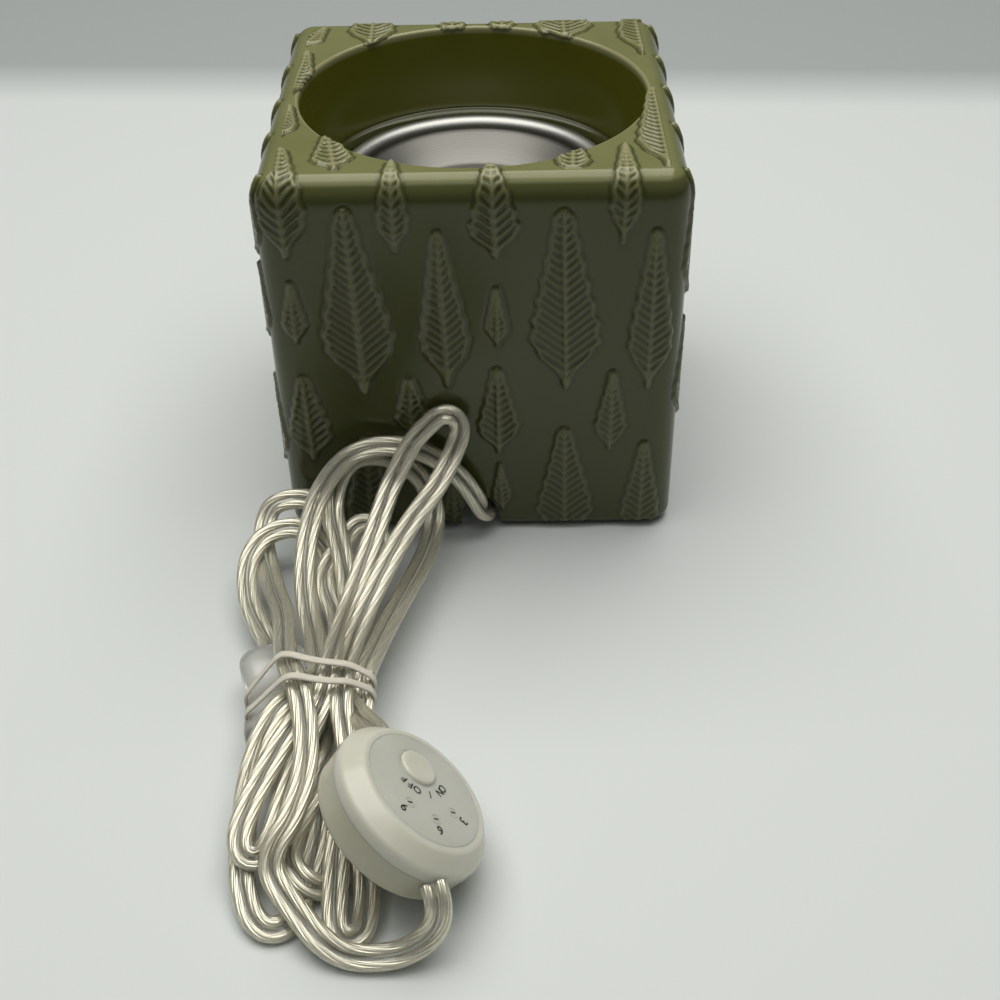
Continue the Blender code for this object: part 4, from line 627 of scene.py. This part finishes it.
def add_leaves(leaves, s, v, relief, ridge, groove, mask):
    """Adds a list of leaves, given in the coordinates s and v, to the relief where mask holds."""
    for number, (s0, v0, s1, v1, width) in enumerate(leaves):
        length = math.hypot(s1 - s0, v1 - v0)
        along_s, along_v = (s1 - s0) / length, (v1 - v0) / length
        along = (s - s0) * along_s + (v - v0) * along_v
        across = (s - s0) * along_v - (v - v0) * along_s
        near = mask & (along > -LEAF_MARGIN) & (along < length + LEAF_MARGIN)
        near &= np.abs(across) < width * LEAF_SPREAD + LEAF_MARGIN
        if not near.any():
            continue
        height, crest, pool = leaf_relief(along[near], across[near], length, width, number * SEED_STEP)
        relief[near] = np.where(np.abs(height) > np.abs(relief[near]), height, relief[near])
        ridge[near] = np.maximum(ridge[near], crest)
        groove[near] = np.maximum(groove[near], pool)


def cube_columns():
    """Core point, outward direction and run around the cube for each column of the body's grid."""
    side_count = int(round(2 * FLAT / GRID))
    turn_count = int(round(CORNER * QUARTER / GRID))
    cores, ways, runs = [], [], []
    run = 0.0
    for k, (c, s) in enumerate(TURNS):
        for i in range(side_count):
            x = -FLAT + 2 * FLAT * i / side_count
            cores.append((c * x + s * FLAT, s * x - c * FLAT))
            ways.append((s, -c))
            runs.append(run + 2 * FLAT * i / side_count)
        run += 2 * FLAT
        for i in range(turn_count):
            a = -QUARTER + k * QUARTER + QUARTER * i / turn_count
            cores.append((c * FLAT + s * FLAT, s * FLAT - c * FLAT))
            ways.append((math.cos(a), math.sin(a)))
            runs.append(run + CORNER * QUARTER * i / turn_count)
        run += CORNER * QUARTER
    return np.array(cores), np.array(ways), np.array(runs), run


def body_rows():
    """Rows of the body's section from the bottom edge over the top, down the well and back inside.
    Each is (kind, inset or radius, height, way out, way up, v)."""
    rows = []
    for i in range(BOTTOM_EDGE_STEPS + 1):
        a = QUARTER * (1 - i / BOTTOM_EDGE_STEPS)
        z = BOTTOM + BOTTOM_EDGE * (1 - math.sin(a))
        rows.append(("square", BOTTOM_EDGE * (1 - math.cos(a)), z, math.cos(a), -math.sin(a), z))
    low, high = BOTTOM + BOTTOM_EDGE, TOP - TOP_DROP
    steps = int(round((high - low) / GRID))
    for i in range(1, steps + 1):
        z = low + (high - low) * i / steps
        rows.append(("square", 0.0, z, 1.0, 0.0, z))
    for i in range(1, TOP_EDGE_STEPS + 1):
        a = QUARTER * i / TOP_EDGE_STEPS
        v = high + (TOP_V - high) * i / TOP_EDGE_STEPS
        rows.append(("square", TOP_EDGE * (1 - math.cos(a)), high + TOP_DROP * math.sin(a),
                     math.cos(a) / TOP_EDGE, math.sin(a) / TOP_DROP, v))
    for i in range(1, TOP_STEPS + 1):
        rows.append(("flat", i / TOP_STEPS, TOP, 0.0, 1.0, None))
    for r, z in arc((WELL + LIP, TOP - LIP), LIP, 90, 180, FILLET_STEPS)[1:]:
        rows.append(("lip", r, z, (r - WELL - LIP) / LIP, (z - TOP + LIP) / LIP, None))
    for i in range(1, WELL_STEPS + 1):
        share = i / WELL_STEPS
        z = TOP - LIP + (LEDGE + LEDGE_FILLET - TOP + LIP) * share
        rows.append(("well", WELL + (WELL_FOOT - WELL) * share, z, -1.0, 0.0, None))
    foot = (WELL_FOOT - LEDGE_FILLET, LEDGE + LEDGE_FILLET)
    for r, z in arc(foot, LEDGE_FILLET, 0, -80, FILLET_STEPS)[1:]:
        rows.append(("well", r, z, -1.0, 0.0, None))
    for r, z in ((LEDGE_HOLE, LEDGE - 1.0), (LEDGE_HOLE, LEDGE_UNDER + LEDGE_SOFT),
                 (LEDGE_HOLE + LEDGE_SOFT, LEDGE_UNDER)):
        rows.append(("well", r, z, 0.0, 0.0, None))
    for inset, z in ((WALL + 2.0, LEDGE_UNDER), (WALL + 1.0, LEDGE_UNDER), (WALL, LEDGE_UNDER - 1.0),
                     (WALL, 60.0), (WALL, 30.0), (WALL, BOTTOM + 1.0), (WALL - 0.8, BOTTOM)):
        rows.append(("inside", inset, z, 0.0, 0.0, None))
    return rows


def notch_height(x):
    """Height of the bell-shaped cord notch over the body's bottom edge at x."""
    share = np.clip(np.abs(x) / NOTCH_HALF, 0, 1)
    shoulder, crown = NOTCH_POWERS
    return NOTCH_TALL * np.where(share < 1, np.sqrt(np.clip(1 - share ** shoulder, 0, 1)) ** crown, 0)


def plain_body(rows, cores, ways):
    """Points without relief, the way out at each, and where leaves may stand."""
    points = np.zeros((len(rows), len(cores), 3))
    out = np.zeros_like(points)
    raised = np.zeros(points.shape[:2], bool)
    rim_square = cores + ways * (CORNER - TOP_EDGE)
    toward = unit(rim_square)
    for r, (kind, size, z, way_out, way_up, _) in enumerate(rows):
        if kind in ("square", "inside"):
            points[r, :, :2] = cores + ways * (CORNER - size)
            out[r, :, :2] = ways * way_out
        elif kind == "flat":
            points[r, :, :2] = rim_square * (1 - size) + toward * (WELL + LIP) * size
        else:
            points[r, :, :2] = toward * size
            out[r, :, :2] = toward * way_out
        points[r, :, 2] = z
        out[r, :, 2] = way_up
        raised[r] = kind in ("square", "flat") or (kind == "lip" and way_up > LIP_TILT)
    return points, out, raised


def ceramic_body(look):
    """The glazed cube as one closed grid, with the leaf relief raised out of it."""
    cores, ways, runs, around = cube_columns()
    rows = body_rows()
    kinds = np.array([row[0] for row in rows])
    heights = np.array([row[2] for row in rows])
    on_side = np.array([row[5] is not None for row in rows])[:, None]
    flow = np.repeat([[row[5] or 0.0] for row in rows], len(cores), axis=1)
    points, out, raised = plain_body(rows, cores, ways)

    lift = notch_height(cores[:, 0]) * (ways[:, 1] < -0.99)
    low = np.isin(kinds, ("square", "inside")) & (heights < NOTCH_FADE)
    level = heights[low, None]
    points[low, :, 2] = level + lift * (NOTCH_FADE - level) / (NOTCH_FADE - BOTTOM)
    flow = np.where(on_side & (flow < NOTCH_FADE), points[:, :, 2], flow)

    relief = np.zeros(points.shape[:2])
    ridge = np.zeros_like(relief)
    groove = np.zeros_like(relief)
    side_run = 2 * FLAT + CORNER * QUARTER
    sides = (FRONT_LEAVES, SIDE_LEAVES, BACK_LEAVES, SIDE_LEAVES)
    for k, (leaves, (c, s)) in enumerate(zip(sides, TURNS)):
        run = (runs - FLAT - k * side_run + around / 2) % around - around / 2
        local_x = points[:, :, 0] * c + points[:, :, 1] * s
        local_y = -points[:, :, 0] * s + points[:, :, 1] * c
        along = np.where(on_side, run[None, :], local_x)
        up = np.where(on_side, flow, TOP_V + local_y + HALF - TOP_EDGE)
        facing = np.where(on_side, np.abs(run)[None, :] < HALF + CORNER_REACH, local_y < 0)
        add_leaves(leaves, along, up, relief, ridge, groove, raised & facing)
    add_leaves(TOP_LEAVES, points[:, :, 0], points[:, :, 1], relief, ridge, groove, raised & ~on_side)

    edge = smoothstep(0, FOOT_FADE, flow - BOTTOM - lift[None, :] * on_side)
    relief = np.where(on_side, relief * edge, relief)
    length = np.maximum(np.linalg.norm(out, axis=2), TINY)
    points = points + out / length[:, :, None] * relief[:, :, None]
    made = grid_object("ceramic_body_look", points * MM, look, close_rows=True)

    # Painted shade at the well's foot, laid in with the pool colour
    groove[(kinds == "well") & (heights < LEDGE + LEDGE_FILLET)] = LEDGE_SHADE
    lip = kinds == "lip"
    ridge[lip] = np.maximum(ridge[lip], LIP_CREST)
    # Painted shade on the sides: it sets in below the top edge and mutes the pale ridges there
    start, rest = SIDE_SHADE_SHARES
    side_shade = smoothstep(*SIDE_SHADE_START, flow) * (start + rest * smoothstep(*SIDE_SHADE_FULL, flow))
    side = np.where(on_side, side_shade, 0)
    ridge = ridge * (1 - SIDE_SHADE_ON_CREST * side)
    # Painted shade over the whole well
    well = np.repeat((kinds == "well")[:, None], len(cores), axis=1)
    # pool also carries the painted shade at the well's foot
    for name, values in (("crest", ridge), ("pool", groove), ("side", side), ("well", well)):
        attribute = made.data.attributes.new(name, "FLOAT", "POINT")
        attribute.data.foreach_set("value", values.reshape(-1).astype(np.float32))
    return made


def wax_dish(look):
    """Pressed dish with a rolled rim."""
    roll = (DISH_RIM - DISH_THROAT) / 2
    crown = (DISH_THROAT + roll, DISH_RIM_TOP - roll)
    skirt = DISH_RIM_TOP - roll - DISH_SKIRT
    upper = [(r, DISH_FLOOR) for r in DISH_FLOOR_RINGS] + list(DISH_WALL)
    upper += arc(crown, roll, DISH_ROLL_START, 0, 18) + [(DISH_RIM, skirt)]
    lower = [(DISH_RIM - DISH_SHEET, skirt)] + arc(crown, roll - DISH_SHEET, 0, DISH_ROLL_START, 12)
    lower += [(r + DISH_WALL_SHIFT, z - DISH_WALL_SHIFT) for r, z in reversed(DISH_WALL)]
    lower += [(DISH_FLOOR_UNDER, DISH_FLOOR - DISH_SHEET), (0, DISH_FLOOR - DISH_SHEET)]
    return lathe("wax_dish_look", upper + lower, look, 160)


def turned(degrees, axis):
    return Matrix.Rotation(math.radians(degrees), 4, axis)


def timer_matrix():
    turn = turned(TIMER_HEADING, "Z") @ turned(TIMER_TILT, "Y") @ turned(TIMER_SPIN, "Z")
    return Matrix.Translation(TIMER_AT) @ turn


def timer_pieces(shell_look, base_look, label_look, ink):
    """Shells, label, button, collar and windows, from profiles of (radius, height) in millimetres."""
    place = timer_matrix()
    upper = [(22.3, 0.03), (22.6, 0.03), (22.72, 0.14), (22.70, 2.2)] + arc((20.6, 2.4), 2.1, 0, 55, 7)
    upper += arc((17.9, 5.3), 2.15, 55, 88, 6) + [(17.10, 7.46), (17.02, 7.36), (17.0, 7.0), (0, 6.9)]
    top = lathe("timer_top_look", upper, shell_look, 128, place)
    lower = [(22.3, -0.03), (22.45, -0.03), (22.55, -0.12), (21.9, -5.4)]
    lower += arc((18.6, -5.9), 3.3, 6, -88, 10) + [(0, -TIMER_UNDER)]
    base = lathe("timer_base_look", lower, base_look, 128, place)
    face = [(16.96, 7.0), (16.96, 7.40)] + arc((16.88, 7.42), 0.08, 0, 90, 3) + [(0, TIMER_FACE)]
    label = lathe("timer_label_look", face, label_look, 128, place)
    at_button = place @ Matrix.Translation((BUTTON_AT * MM, 0, 0))
    key = [(5.3, 4.2), (5.3, TIMER_FACE)] + arc((4.4, TIMER_FACE), 0.9, 0, 80, 6)
    key += [(3.4, 8.42), (2.2, 8.30), (0, 8.25)]
    button = lathe("timer_button_look", key, shell_look, 64, at_button)
    collar = lathe("timer_button_collar", arc((5.62, 7.44), 0.16, 180, 0, 6), shell_look, 64, at_button)

    windows = []
    dimple = arc((1.35, 7.42), 0.2, 180, 0, 6)
    slit = [(0.42, 7.49), (0.42, 7.55), (0.0, 7.55)]
    for number, angle in enumerate(LED_ANGLES, 1):
        a = math.radians(angle)
        at = place @ Matrix.Translation((LED_CIRCLE * math.cos(a) * MM, LED_CIRCLE * math.sin(a) * MM, 0))
        windows.append(lathe(f"timer_window_{number}", dimple, shell_look, 32, at))
        windows.append(lathe(f"timer_slit_{number}", slit, ink, 20, at @ Matrix.Diagonal(SLIT_STRETCH)))
    return top, base, label, button, collar, windows


def letter(name, text, size, look, angle, circle, centre=0.0):
    """One printed character, flat on the timer's face, with its head out of a circle about a centre."""
    curve = bpy.data.curves.new(name, "FONT")
    curve.body = text
    curve.size = size * MM
    curve.align_x = "CENTER"
    curve.align_y = "CENTER"
    curve.extrude = PRINT_THICK * MM
    curve.offset = PRINT_BOLD * MM
    made = add_object(name, curve)
    a = math.radians(angle)
    at = ((centre + circle * math.cos(a)) * MM, circle * math.sin(a) * MM, PRINT_AT * MM)
    made.matrix_world = timer_matrix() @ Matrix.Translation(at) @ Matrix.Rotation(a - QUARTER, 4, "Z")
    bpy.context.view_layer.update()
    mesh = bpy.data.meshes.new_from_object(made)
    mesh.transform(made.matrix_world)
    bpy.data.objects.remove(made)
    mesh.materials.clear()
    mesh.materials.append(look)
    return add_object(name, mesh)


def print_on_timer(look):
    """Plain numbers beside the windows and ON / OFF in an arc by the button."""
    made = []
    for number, (text, angle) in enumerate(zip(NUMBERS, LED_ANGLES), 1):
        made.append(letter(f"timer_number_{number}", text, NUMBER_SIZE, look, angle, NUMBER_CIRCLE))
    for number, text in enumerate(WORD):
        if text != " ":
            angle = 180 + WORD_SPAN / 2 - WORD_SPAN * number / (len(WORD) - 1)
            made.append(letter(f"timer_word_{number}", text, WORD_SIZE, look, angle, WORD_CIRCLE, BUTTON_AT))
    return made


def smooth_line(points, step):
    """Evenly spaced points on a Catmull-Rom curve through the given ones."""
    given = np.array(points, float)
    ends = np.vstack([2 * given[0] - given[1], given, 2 * given[-1] - given[-2]])
    t = (np.arange(CURVE_STEPS) / CURVE_STEPS)[:, None]
    fine = []
    for a, b, c, d in zip(ends, ends[1:], ends[2:], ends[3:]):
        square = (2 * a - 5 * b + 4 * c - d) * t ** 2
        cube = (3 * b - a - 3 * c + d) * t ** 3
        fine.append(0.5 * (2 * b + (c - a) * t + square + cube))
    fine = np.vstack(fine + [given[-1:]])
    return evenly(fine, int(round(run_along(fine)[-1] / step)) + 1)


def smoothed(values, times):
    for _ in range(times):
        inner = 0.5 * values[1:-1] + 0.25 * (values[:-2] + values[2:])
        values = np.vstack([values[:1], inner, values[-1:]])
    return values


def push_out(points, timer_inverse):
    """Shift that takes points out of the floor, the cube's wall, the plug and the timer."""
    shift = np.zeros_like(points)
    shift[:, 2] += np.maximum(0, CORD_HIGH - points[:, 2])
    outside = (points[:, 1] < NOTCH_ROOM[0]) | (points[:, 2] > NOTCH_ROOM[1])
    shift[:, 1] -= np.where(outside, np.maximum(0, points[:, 1] - WALL_CLEAR), 0)

    turn = np.array(plug_matrix().to_3x3())
    inside = (points - np.array(PLUG_AT)) @ turn
    inside[:, 1] += PLUG_LONG / 2
    gap = np.array((PLUG_HALF, PLUG_LONG / 2, PLUG_THICK / 2)) + PLUG_CLEAR - np.abs(inside)
    deep = gap.min(axis=1) > 0
    sideways = deep & (gap[:, 0] < gap[:, 2])
    upward = deep & ~sideways
    shift += np.where(sideways, gap[:, 0] * np.sign(inside[:, 0]), 0)[:, None] * turn[:, 0]
    shift[:, 2] += np.where(upward, gap[:, 2] * np.sign(inside[:, 2]), 0)

    local = points @ timer_inverse[:3, :3].T + timer_inverse[:3, 3]
    radius = np.hypot(local[:, 0], local[:, 1])
    side = TIMER_RADIUS + TIMER_CLEAR - radius
    under = local[:, 2] + TIMER_UNDER + TIMER_CLEAR
    over = TIMER_FACE + TIMER_CLEAR - local[:, 2]
    hit = (side > 0) & (under > 0) & (over > 0)
    outward = local / np.maximum(radius, TINY)[:, None] * (1, 1, 0)
    out = np.where((under < side)[:, None], np.array((0, 0, -1.0)), outward)
    shift += np.where(hit[:, None], (out * np.minimum(under, side)[:, None]) @ timer_inverse[:3, :3], 0)
    return shift


def settle(routes, held):
    """Lets the strands of all routes push each other apart and out of what they touch, as in a tied hank.
    held gives for each route how many points at its two ends stay where they are."""
    lines = [smooth_line(r, CORD_STEP) for r in routes]
    counts = [len(line) for line in lines]
    target = np.vstack(lines)
    owner = np.repeat(np.arange(len(lines)), counts)
    place = np.concatenate([np.arange(n) for n in counts])
    ease = []
    for n, (first, last) in zip(counts, held):
        from_ends = np.minimum(np.arange(n) - first, n - 1 - last - np.arange(n))
        ease.append(np.minimum(1, np.maximum(0, from_ends / EASE_POINTS)))
    free = np.concatenate(ease)[:, None]
    strangers = owner[:, None] != owner[None, :]
    apart = strangers | (np.abs(place[:, None] - place[None, :]) * CORD_STEP > SAME_RUN)
    to_timer = np.array(timer_matrix().inverted())
    to_timer[:3, 3] /= MM
    cuts = np.cumsum(counts)[:-1]
    moved = np.zeros_like(target)
    for _ in range(SETTLE_ROUNDS):
        points = target + moved
        delta = points[:, None, :] - points[None, :, :]
        distance = np.sqrt((delta ** 2).sum(-1)) + TINY
        close = apart & (distance < CORD_APART)
        push = np.where(close, (CORD_APART - distance) / distance, 0)[:, :, None] * delta
        step = push.sum(1) / np.maximum(close.sum(1), 1)[:, None] * STRAND_PUSH
        moved = moved + (step + SOLID_PUSH * push_out(points, to_timer)) * free
        moved = np.vstack([smoothed(part, 2) for part in np.split(moved, cuts)])
        moved *= free * PULL_BACK
    return np.split(target + moved, cuts)


def cord_frames(line):
    """The flat cord's broad and thin directions; it lies level to an eye above and in front of the hank."""
    tangent = unit(np.gradient(line, axis=0))
    broad = np.cross(tangent, CORD_FACING)
    for i in range(1, len(broad)):
        if np.dot(broad[i], broad[i - 1]) < 0:
            broad[i] = -broad[i]
    for _ in range(FACING_ROUNDS):
        broad = smoothed(broad, 1)
        broad -= tangent * (broad * tangent).sum(1)[:, None]
    broad = unit(broad)
    return broad, np.cross(tangent, broad)


def off_floor(line):
    """A finer line, raised where the tilted flat cord would dip into the floor."""
    line = smooth_line(line, CORD_STEP / 2)
    broad, _ = cord_frames(line)
    reach = LOBE + LOBE_AT * np.abs(broad[:, 2])
    line[:, 2] += np.maximum(0, reach + FLOOR_GAP - line[:, 2])
    return smoothed(line, 2)


def cord_section():
    """Outline of the flat twin jacket: two lobes joined by a web."""
    right = arc((LOBE_AT, 0), LOBE, -LOBE_SWEEP, LOBE_SWEEP, 13)
    return np.array(right + [(-x, -y) for x, y in right])


def sweep(name, line, broad, thin, outline, look):
    """A capped tube along the line."""
    rows = line[:, None, :] + outline[..., 0:1] * broad[:, None, :] + outline[..., 1:2] * thin[:, None, :]
    return mended(grid_object(name, rows * MM, look), cap=True)


def cord_pieces(name, line, jacket_look, core_look):
    """The clear jacket and its two twisted conductors."""
    broad, thin = cord_frames(line)
    jacket = sweep(name, line, broad, thin, cord_section()[None], jacket_look)
    points = CORE_STRANDS * STRAND_POINTS
    around = 2 * np.pi * np.arange(points) / points
    base, ripple = CORE_RIPPLE
    radius = CORE * (base + ripple * np.cos(CORE_STRANDS * around))
    twist = around[None, :] + 2 * np.pi * run_along(line)[:, None] / CORE_LAY
    cores = []
    for number, side in enumerate((-1, 1), 1):
        outline = np.stack([side * LOBE_AT + radius * np.cos(twist), radius * np.sin(twist)], -1)
        cores.append(sweep(f"{name}_strands_{number}", line, broad, thin, outline, core_look))
    return jacket, cores


def hull(points):
    """Convex outline of points in a plane, counter-clockwise."""
    ordered = sorted(map(tuple, points))
    halves = []
    for run in (ordered, ordered[::-1]):
        half = []
        for p in run:
            while len(half) > 1 and ((half[-1][0] - half[-2][0]) * (p[1] - half[-2][1])
                                     - (half[-1][1] - half[-2][1]) * (p[0] - half[-2][0])) <= 0:
                half.pop()
            half.append(p)
        halves.append(half[:-1])
    return np.array(halves[0] + halves[1])


def rubber_band(number, heights, lines, look):
    """One wrap of the band, stretched around every strand and the plug where it passes."""
    corners = []
    ring = np.radians(np.arange(0, 360, 30))
    low_core, low_edge = BAND_LOW
    for line in lines:
        near = np.abs(line[:, 1] - np.interp(line[:, 0], BAND_XS, heights)) < BAND_NEAR
        for x, _, z in line[near]:
            corners += [(x + BAND_OFF_STRAND * math.cos(a), max(z + BAND_OFF_STRAND * math.sin(a), low_core))
                        for a in ring]
    plug_x = PLUG_AT[0] + (PLUG_AT[1] - heights[0]) * math.tan(math.radians(PLUG_TURN))
    beside, above = BAND_ON_PLUG
    for sx, sz in QUADRANTS:
        corners.append((plug_x + sx * beside, PLUG_AT[2] + sz * (PLUG_THICK / 2 + above)))
    outline = hull(np.array(corners))
    loop = evenly(np.vstack([outline, outline[:1]]), BAND_STEPS, last=False)
    for _ in range(BAND_ROUNDS):
        loop = 0.5 * loop + 0.25 * (np.roll(loop, 1, 0) + np.roll(loop, -1, 0))
    ahead = np.roll(loop, -1, 0) - np.roll(loop, 1, 0)
    outward = unit(np.stack([ahead[:, 1], -ahead[:, 0]], 1))
    wave, pace = BAND_WAVE
    y = np.interp(loop[:, 0], BAND_XS, heights) + wave * np.sin(np.arange(BAND_STEPS) * pace + number)
    section = arc((BAND_WIDE / 2 - BAND_EDGE, BAND_THICK / 2), BAND_EDGE, -90, 90, 4)
    section += [(-u, BAND_THICK - w) for u, w in section]
    rows = []
    for (x, z), (ox, oz), at in zip(loop, outward, y):
        rows.append([(x + w * ox, at + u, max(z + w * oz, low_edge)) for u, w in section])
    return grid_object(f"rubber_band_{number}", np.array(rows) * MM, look, close_rows=True)


def plug_matrix():
    return Matrix.Translation([c * MM for c in PLUG_AT]) @ turned(PLUG_TURN, "Z")


def plug_piece(name, stations, roundness, look):
    angles = 2 * np.pi * np.arange(PLUG_SIDES) / PLUG_SIDES
    across, upright = (np.sign(w) * np.abs(w) ** roundness for w in (np.cos(angles), np.sin(angles)))
    rows = [np.stack([half_x * across, np.full(PLUG_SIDES, -PLUG_LONG * share), half_z * upright], 1)
            for share, half_x, half_z in stations]
    made = mended(grid_object(name, np.array(rows) * MM, look), cap=True)
    made.data.transform(plug_matrix())
    return made


def plug_pieces(clear_look, core_look):
    """Clear moulded plug with a waisted grip, around an opaque bridge that holds the blades."""
    body = plug_piece("plug_body_look", PLUG_BODY, PLUG_BODY_ROUND, clear_look)
    body.modifiers.new("Round", "SUBSURF").render_levels = 1
    return body, plug_piece("plug_bridge", PLUG_BRIDGE, PLUG_BRIDGE_ROUND, core_look)


def table_top():
    """Pale table top, turning grey towards the back as painted shade."""
    made, tree, shader = nodes_of("floor_look")
    at = axes(tree)
    askew = reckon(tree, "MULTIPLY_ADD", at["X"], FLOOR_SKEW, at["Y"])
    # Painted shade: the grey sets in behind the cube
    back = spread(tree, askew, (0.0, 1.0), FLOOR_SHADE_SPAN)
    colour = mottled(tree, back, FLOOR_PALE, FLOOR_SHADE, (0.0, 1.0))
    fill(shader, Base_Color=colour, Roughness=FLOOR_ROUGH, Specular_IOR_Level=FLOOR_SHINE)
    mesh = bpy.data.meshes.new("floor")
    corners = [(x * FLOOR_HALF, y * FLOOR_HALF, 0) for x, y in QUADRANTS]
    mesh.from_pydata(corners, [], [(0, 1, 2, 3)])
    mesh.update()
    mesh.materials.append(made)
    add_object("floor", mesh)


def light_and_camera():
    """Soft light from above and the photograph's camera."""
    world = bpy.data.worlds.new("studio")
    bpy.context.scene.world = world
    world.use_nodes = True
    fill(world.node_tree.nodes["Background"], Color=ROOM_COLOUR, Strength=ROOM_LIGHT)
    for name, at, target, size, watts in LAMPS:
        data = bpy.data.lights.new(name, "AREA")
        data.shape = "RECTANGLE"
        data.size, data.size_y = size
        data.energy = watts
        data.color = LAMP_COLOUR
        lamp = add_object(name, data)
        lamp.location = at
        lamp.rotation_euler = (Vector(target) - Vector(at)).to_track_quat("-Z", "Y").to_euler()
    yaw, pitch, roll = (math.radians(a) for a in (CAMERA_YAW, CAMERA_PITCH, CAMERA_ROLL))
    ahead = Vector((math.sin(yaw) * math.cos(pitch), math.cos(yaw) * math.cos(pitch), -math.sin(pitch)))
    level = Vector((math.cos(yaw), -math.sin(yaw), 0))
    upright = level.cross(ahead)
    right = math.cos(roll) * level + math.sin(roll) * upright
    up = -math.sin(roll) * level + math.cos(roll) * upright
    data = bpy.data.cameras.new("camera")
    data.sensor_width = SENSOR
    data.lens = CAMERA_LENS
    camera = add_object("camera", data)
    camera.matrix_world = Matrix.Translation(CAMERA_AT) @ Matrix((right, up, -ahead)).transposed().to_4x4()
    bpy.context.scene.camera = camera
    bpy.context.scene.view_settings.view_transform = "Standard"


def dress_cad_nodes():
    """Gives every carried-over node the look of its slot in the record."""
    looks = {slot: dressed(*look) for slot, look in SLOT_LOOKS.items()}
    slots = {part["node"]: part["material_slot"] for part in frame["record"]["subparts"]}
    for name, obj in frame["nodes"].items():
        if slots.get(name) in looks:
            obj.data.materials.clear()
            obj.data.materials.append(looks[slots[name]])


def put(piece, slot, *nodes, body="warmer"):
    """Puts a piece on a body in place of the nodes it stands for; the slot is not used."""
    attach(piece, body)
    if nodes:
        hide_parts(*nodes)


def add_timer():
    milky = milky_material(*MILKY_SHELL)
    # Lower shell: warmer milky plastic, darkened as painted shade
    shaded_amber = milky_material(*MILKY_BASE_SHADED)
    film = milky_material(*LABEL_FILM)
    ink = dressed(*INK)
    top, base, label, button, collar, windows = timer_pieces(milky, shaded_amber, film, ink)
    put(top, "milky_plastic", "timer_upper_shell")
    put(base, "milky_plastic", "timer_lower_shell")
    put(label, "label_film", "timer_label")
    put(button, "milky_plastic", "timer_button", body="button")
    for piece in [collar] + windows:
        put(piece, "milky_plastic")
    for mark in print_on_timer(ink):
        put(mark, "black_plastic")


def add_cords():
    """Both lengths of cord, the plug and the band that ties them."""
    jacket = clear_material(*CLEAR_JACKET)
    strands = dressed(*STRANDS)
    lead, mains = (off_floor(line) for line in settle((LEAD_ROUTE, PLUG_ROUTE), HELD_ENDS))
    lead_piece, lead_cores = cord_pieces("cord_lead_look", lead, jacket, strands)
    mains_piece, mains_cores = cord_pieces("cord_mains_look", mains, jacket, strands)
    put(lead_piece, "clear_cord", "cord_lead", "cord_to_timer", "cord_hank")
    put(mains_piece, "clear_cord", "cord_from_timer")
    for core in lead_cores + mains_cores:
        put(core, "clear_cord")
    plug, bridge = plug_pieces(clear_material(*CLEAR_PLUG), dressed(*BRIDGE))
    put(plug, "clear_cord", "plug_body")
    put(bridge, "clear_cord")
    band_look = dressed(*BAND)
    bands = [rubber_band(number, heights, (lead, mains), band_look)
             for number, heights in enumerate(BAND_WRAPS, 1)]
    put(bands[0], "rubber_band", "rubber_band")
    put(bands[1], "rubber_band")


light_and_camera()
table_top()
dress_cad_nodes()
put(ceramic_body(glaze_material()), "olive_glaze", "ceramic_body")
put(wax_dish(dish_material()), "satin_aluminium", "wax_dish", body="dish")
add_timer()
add_cords()
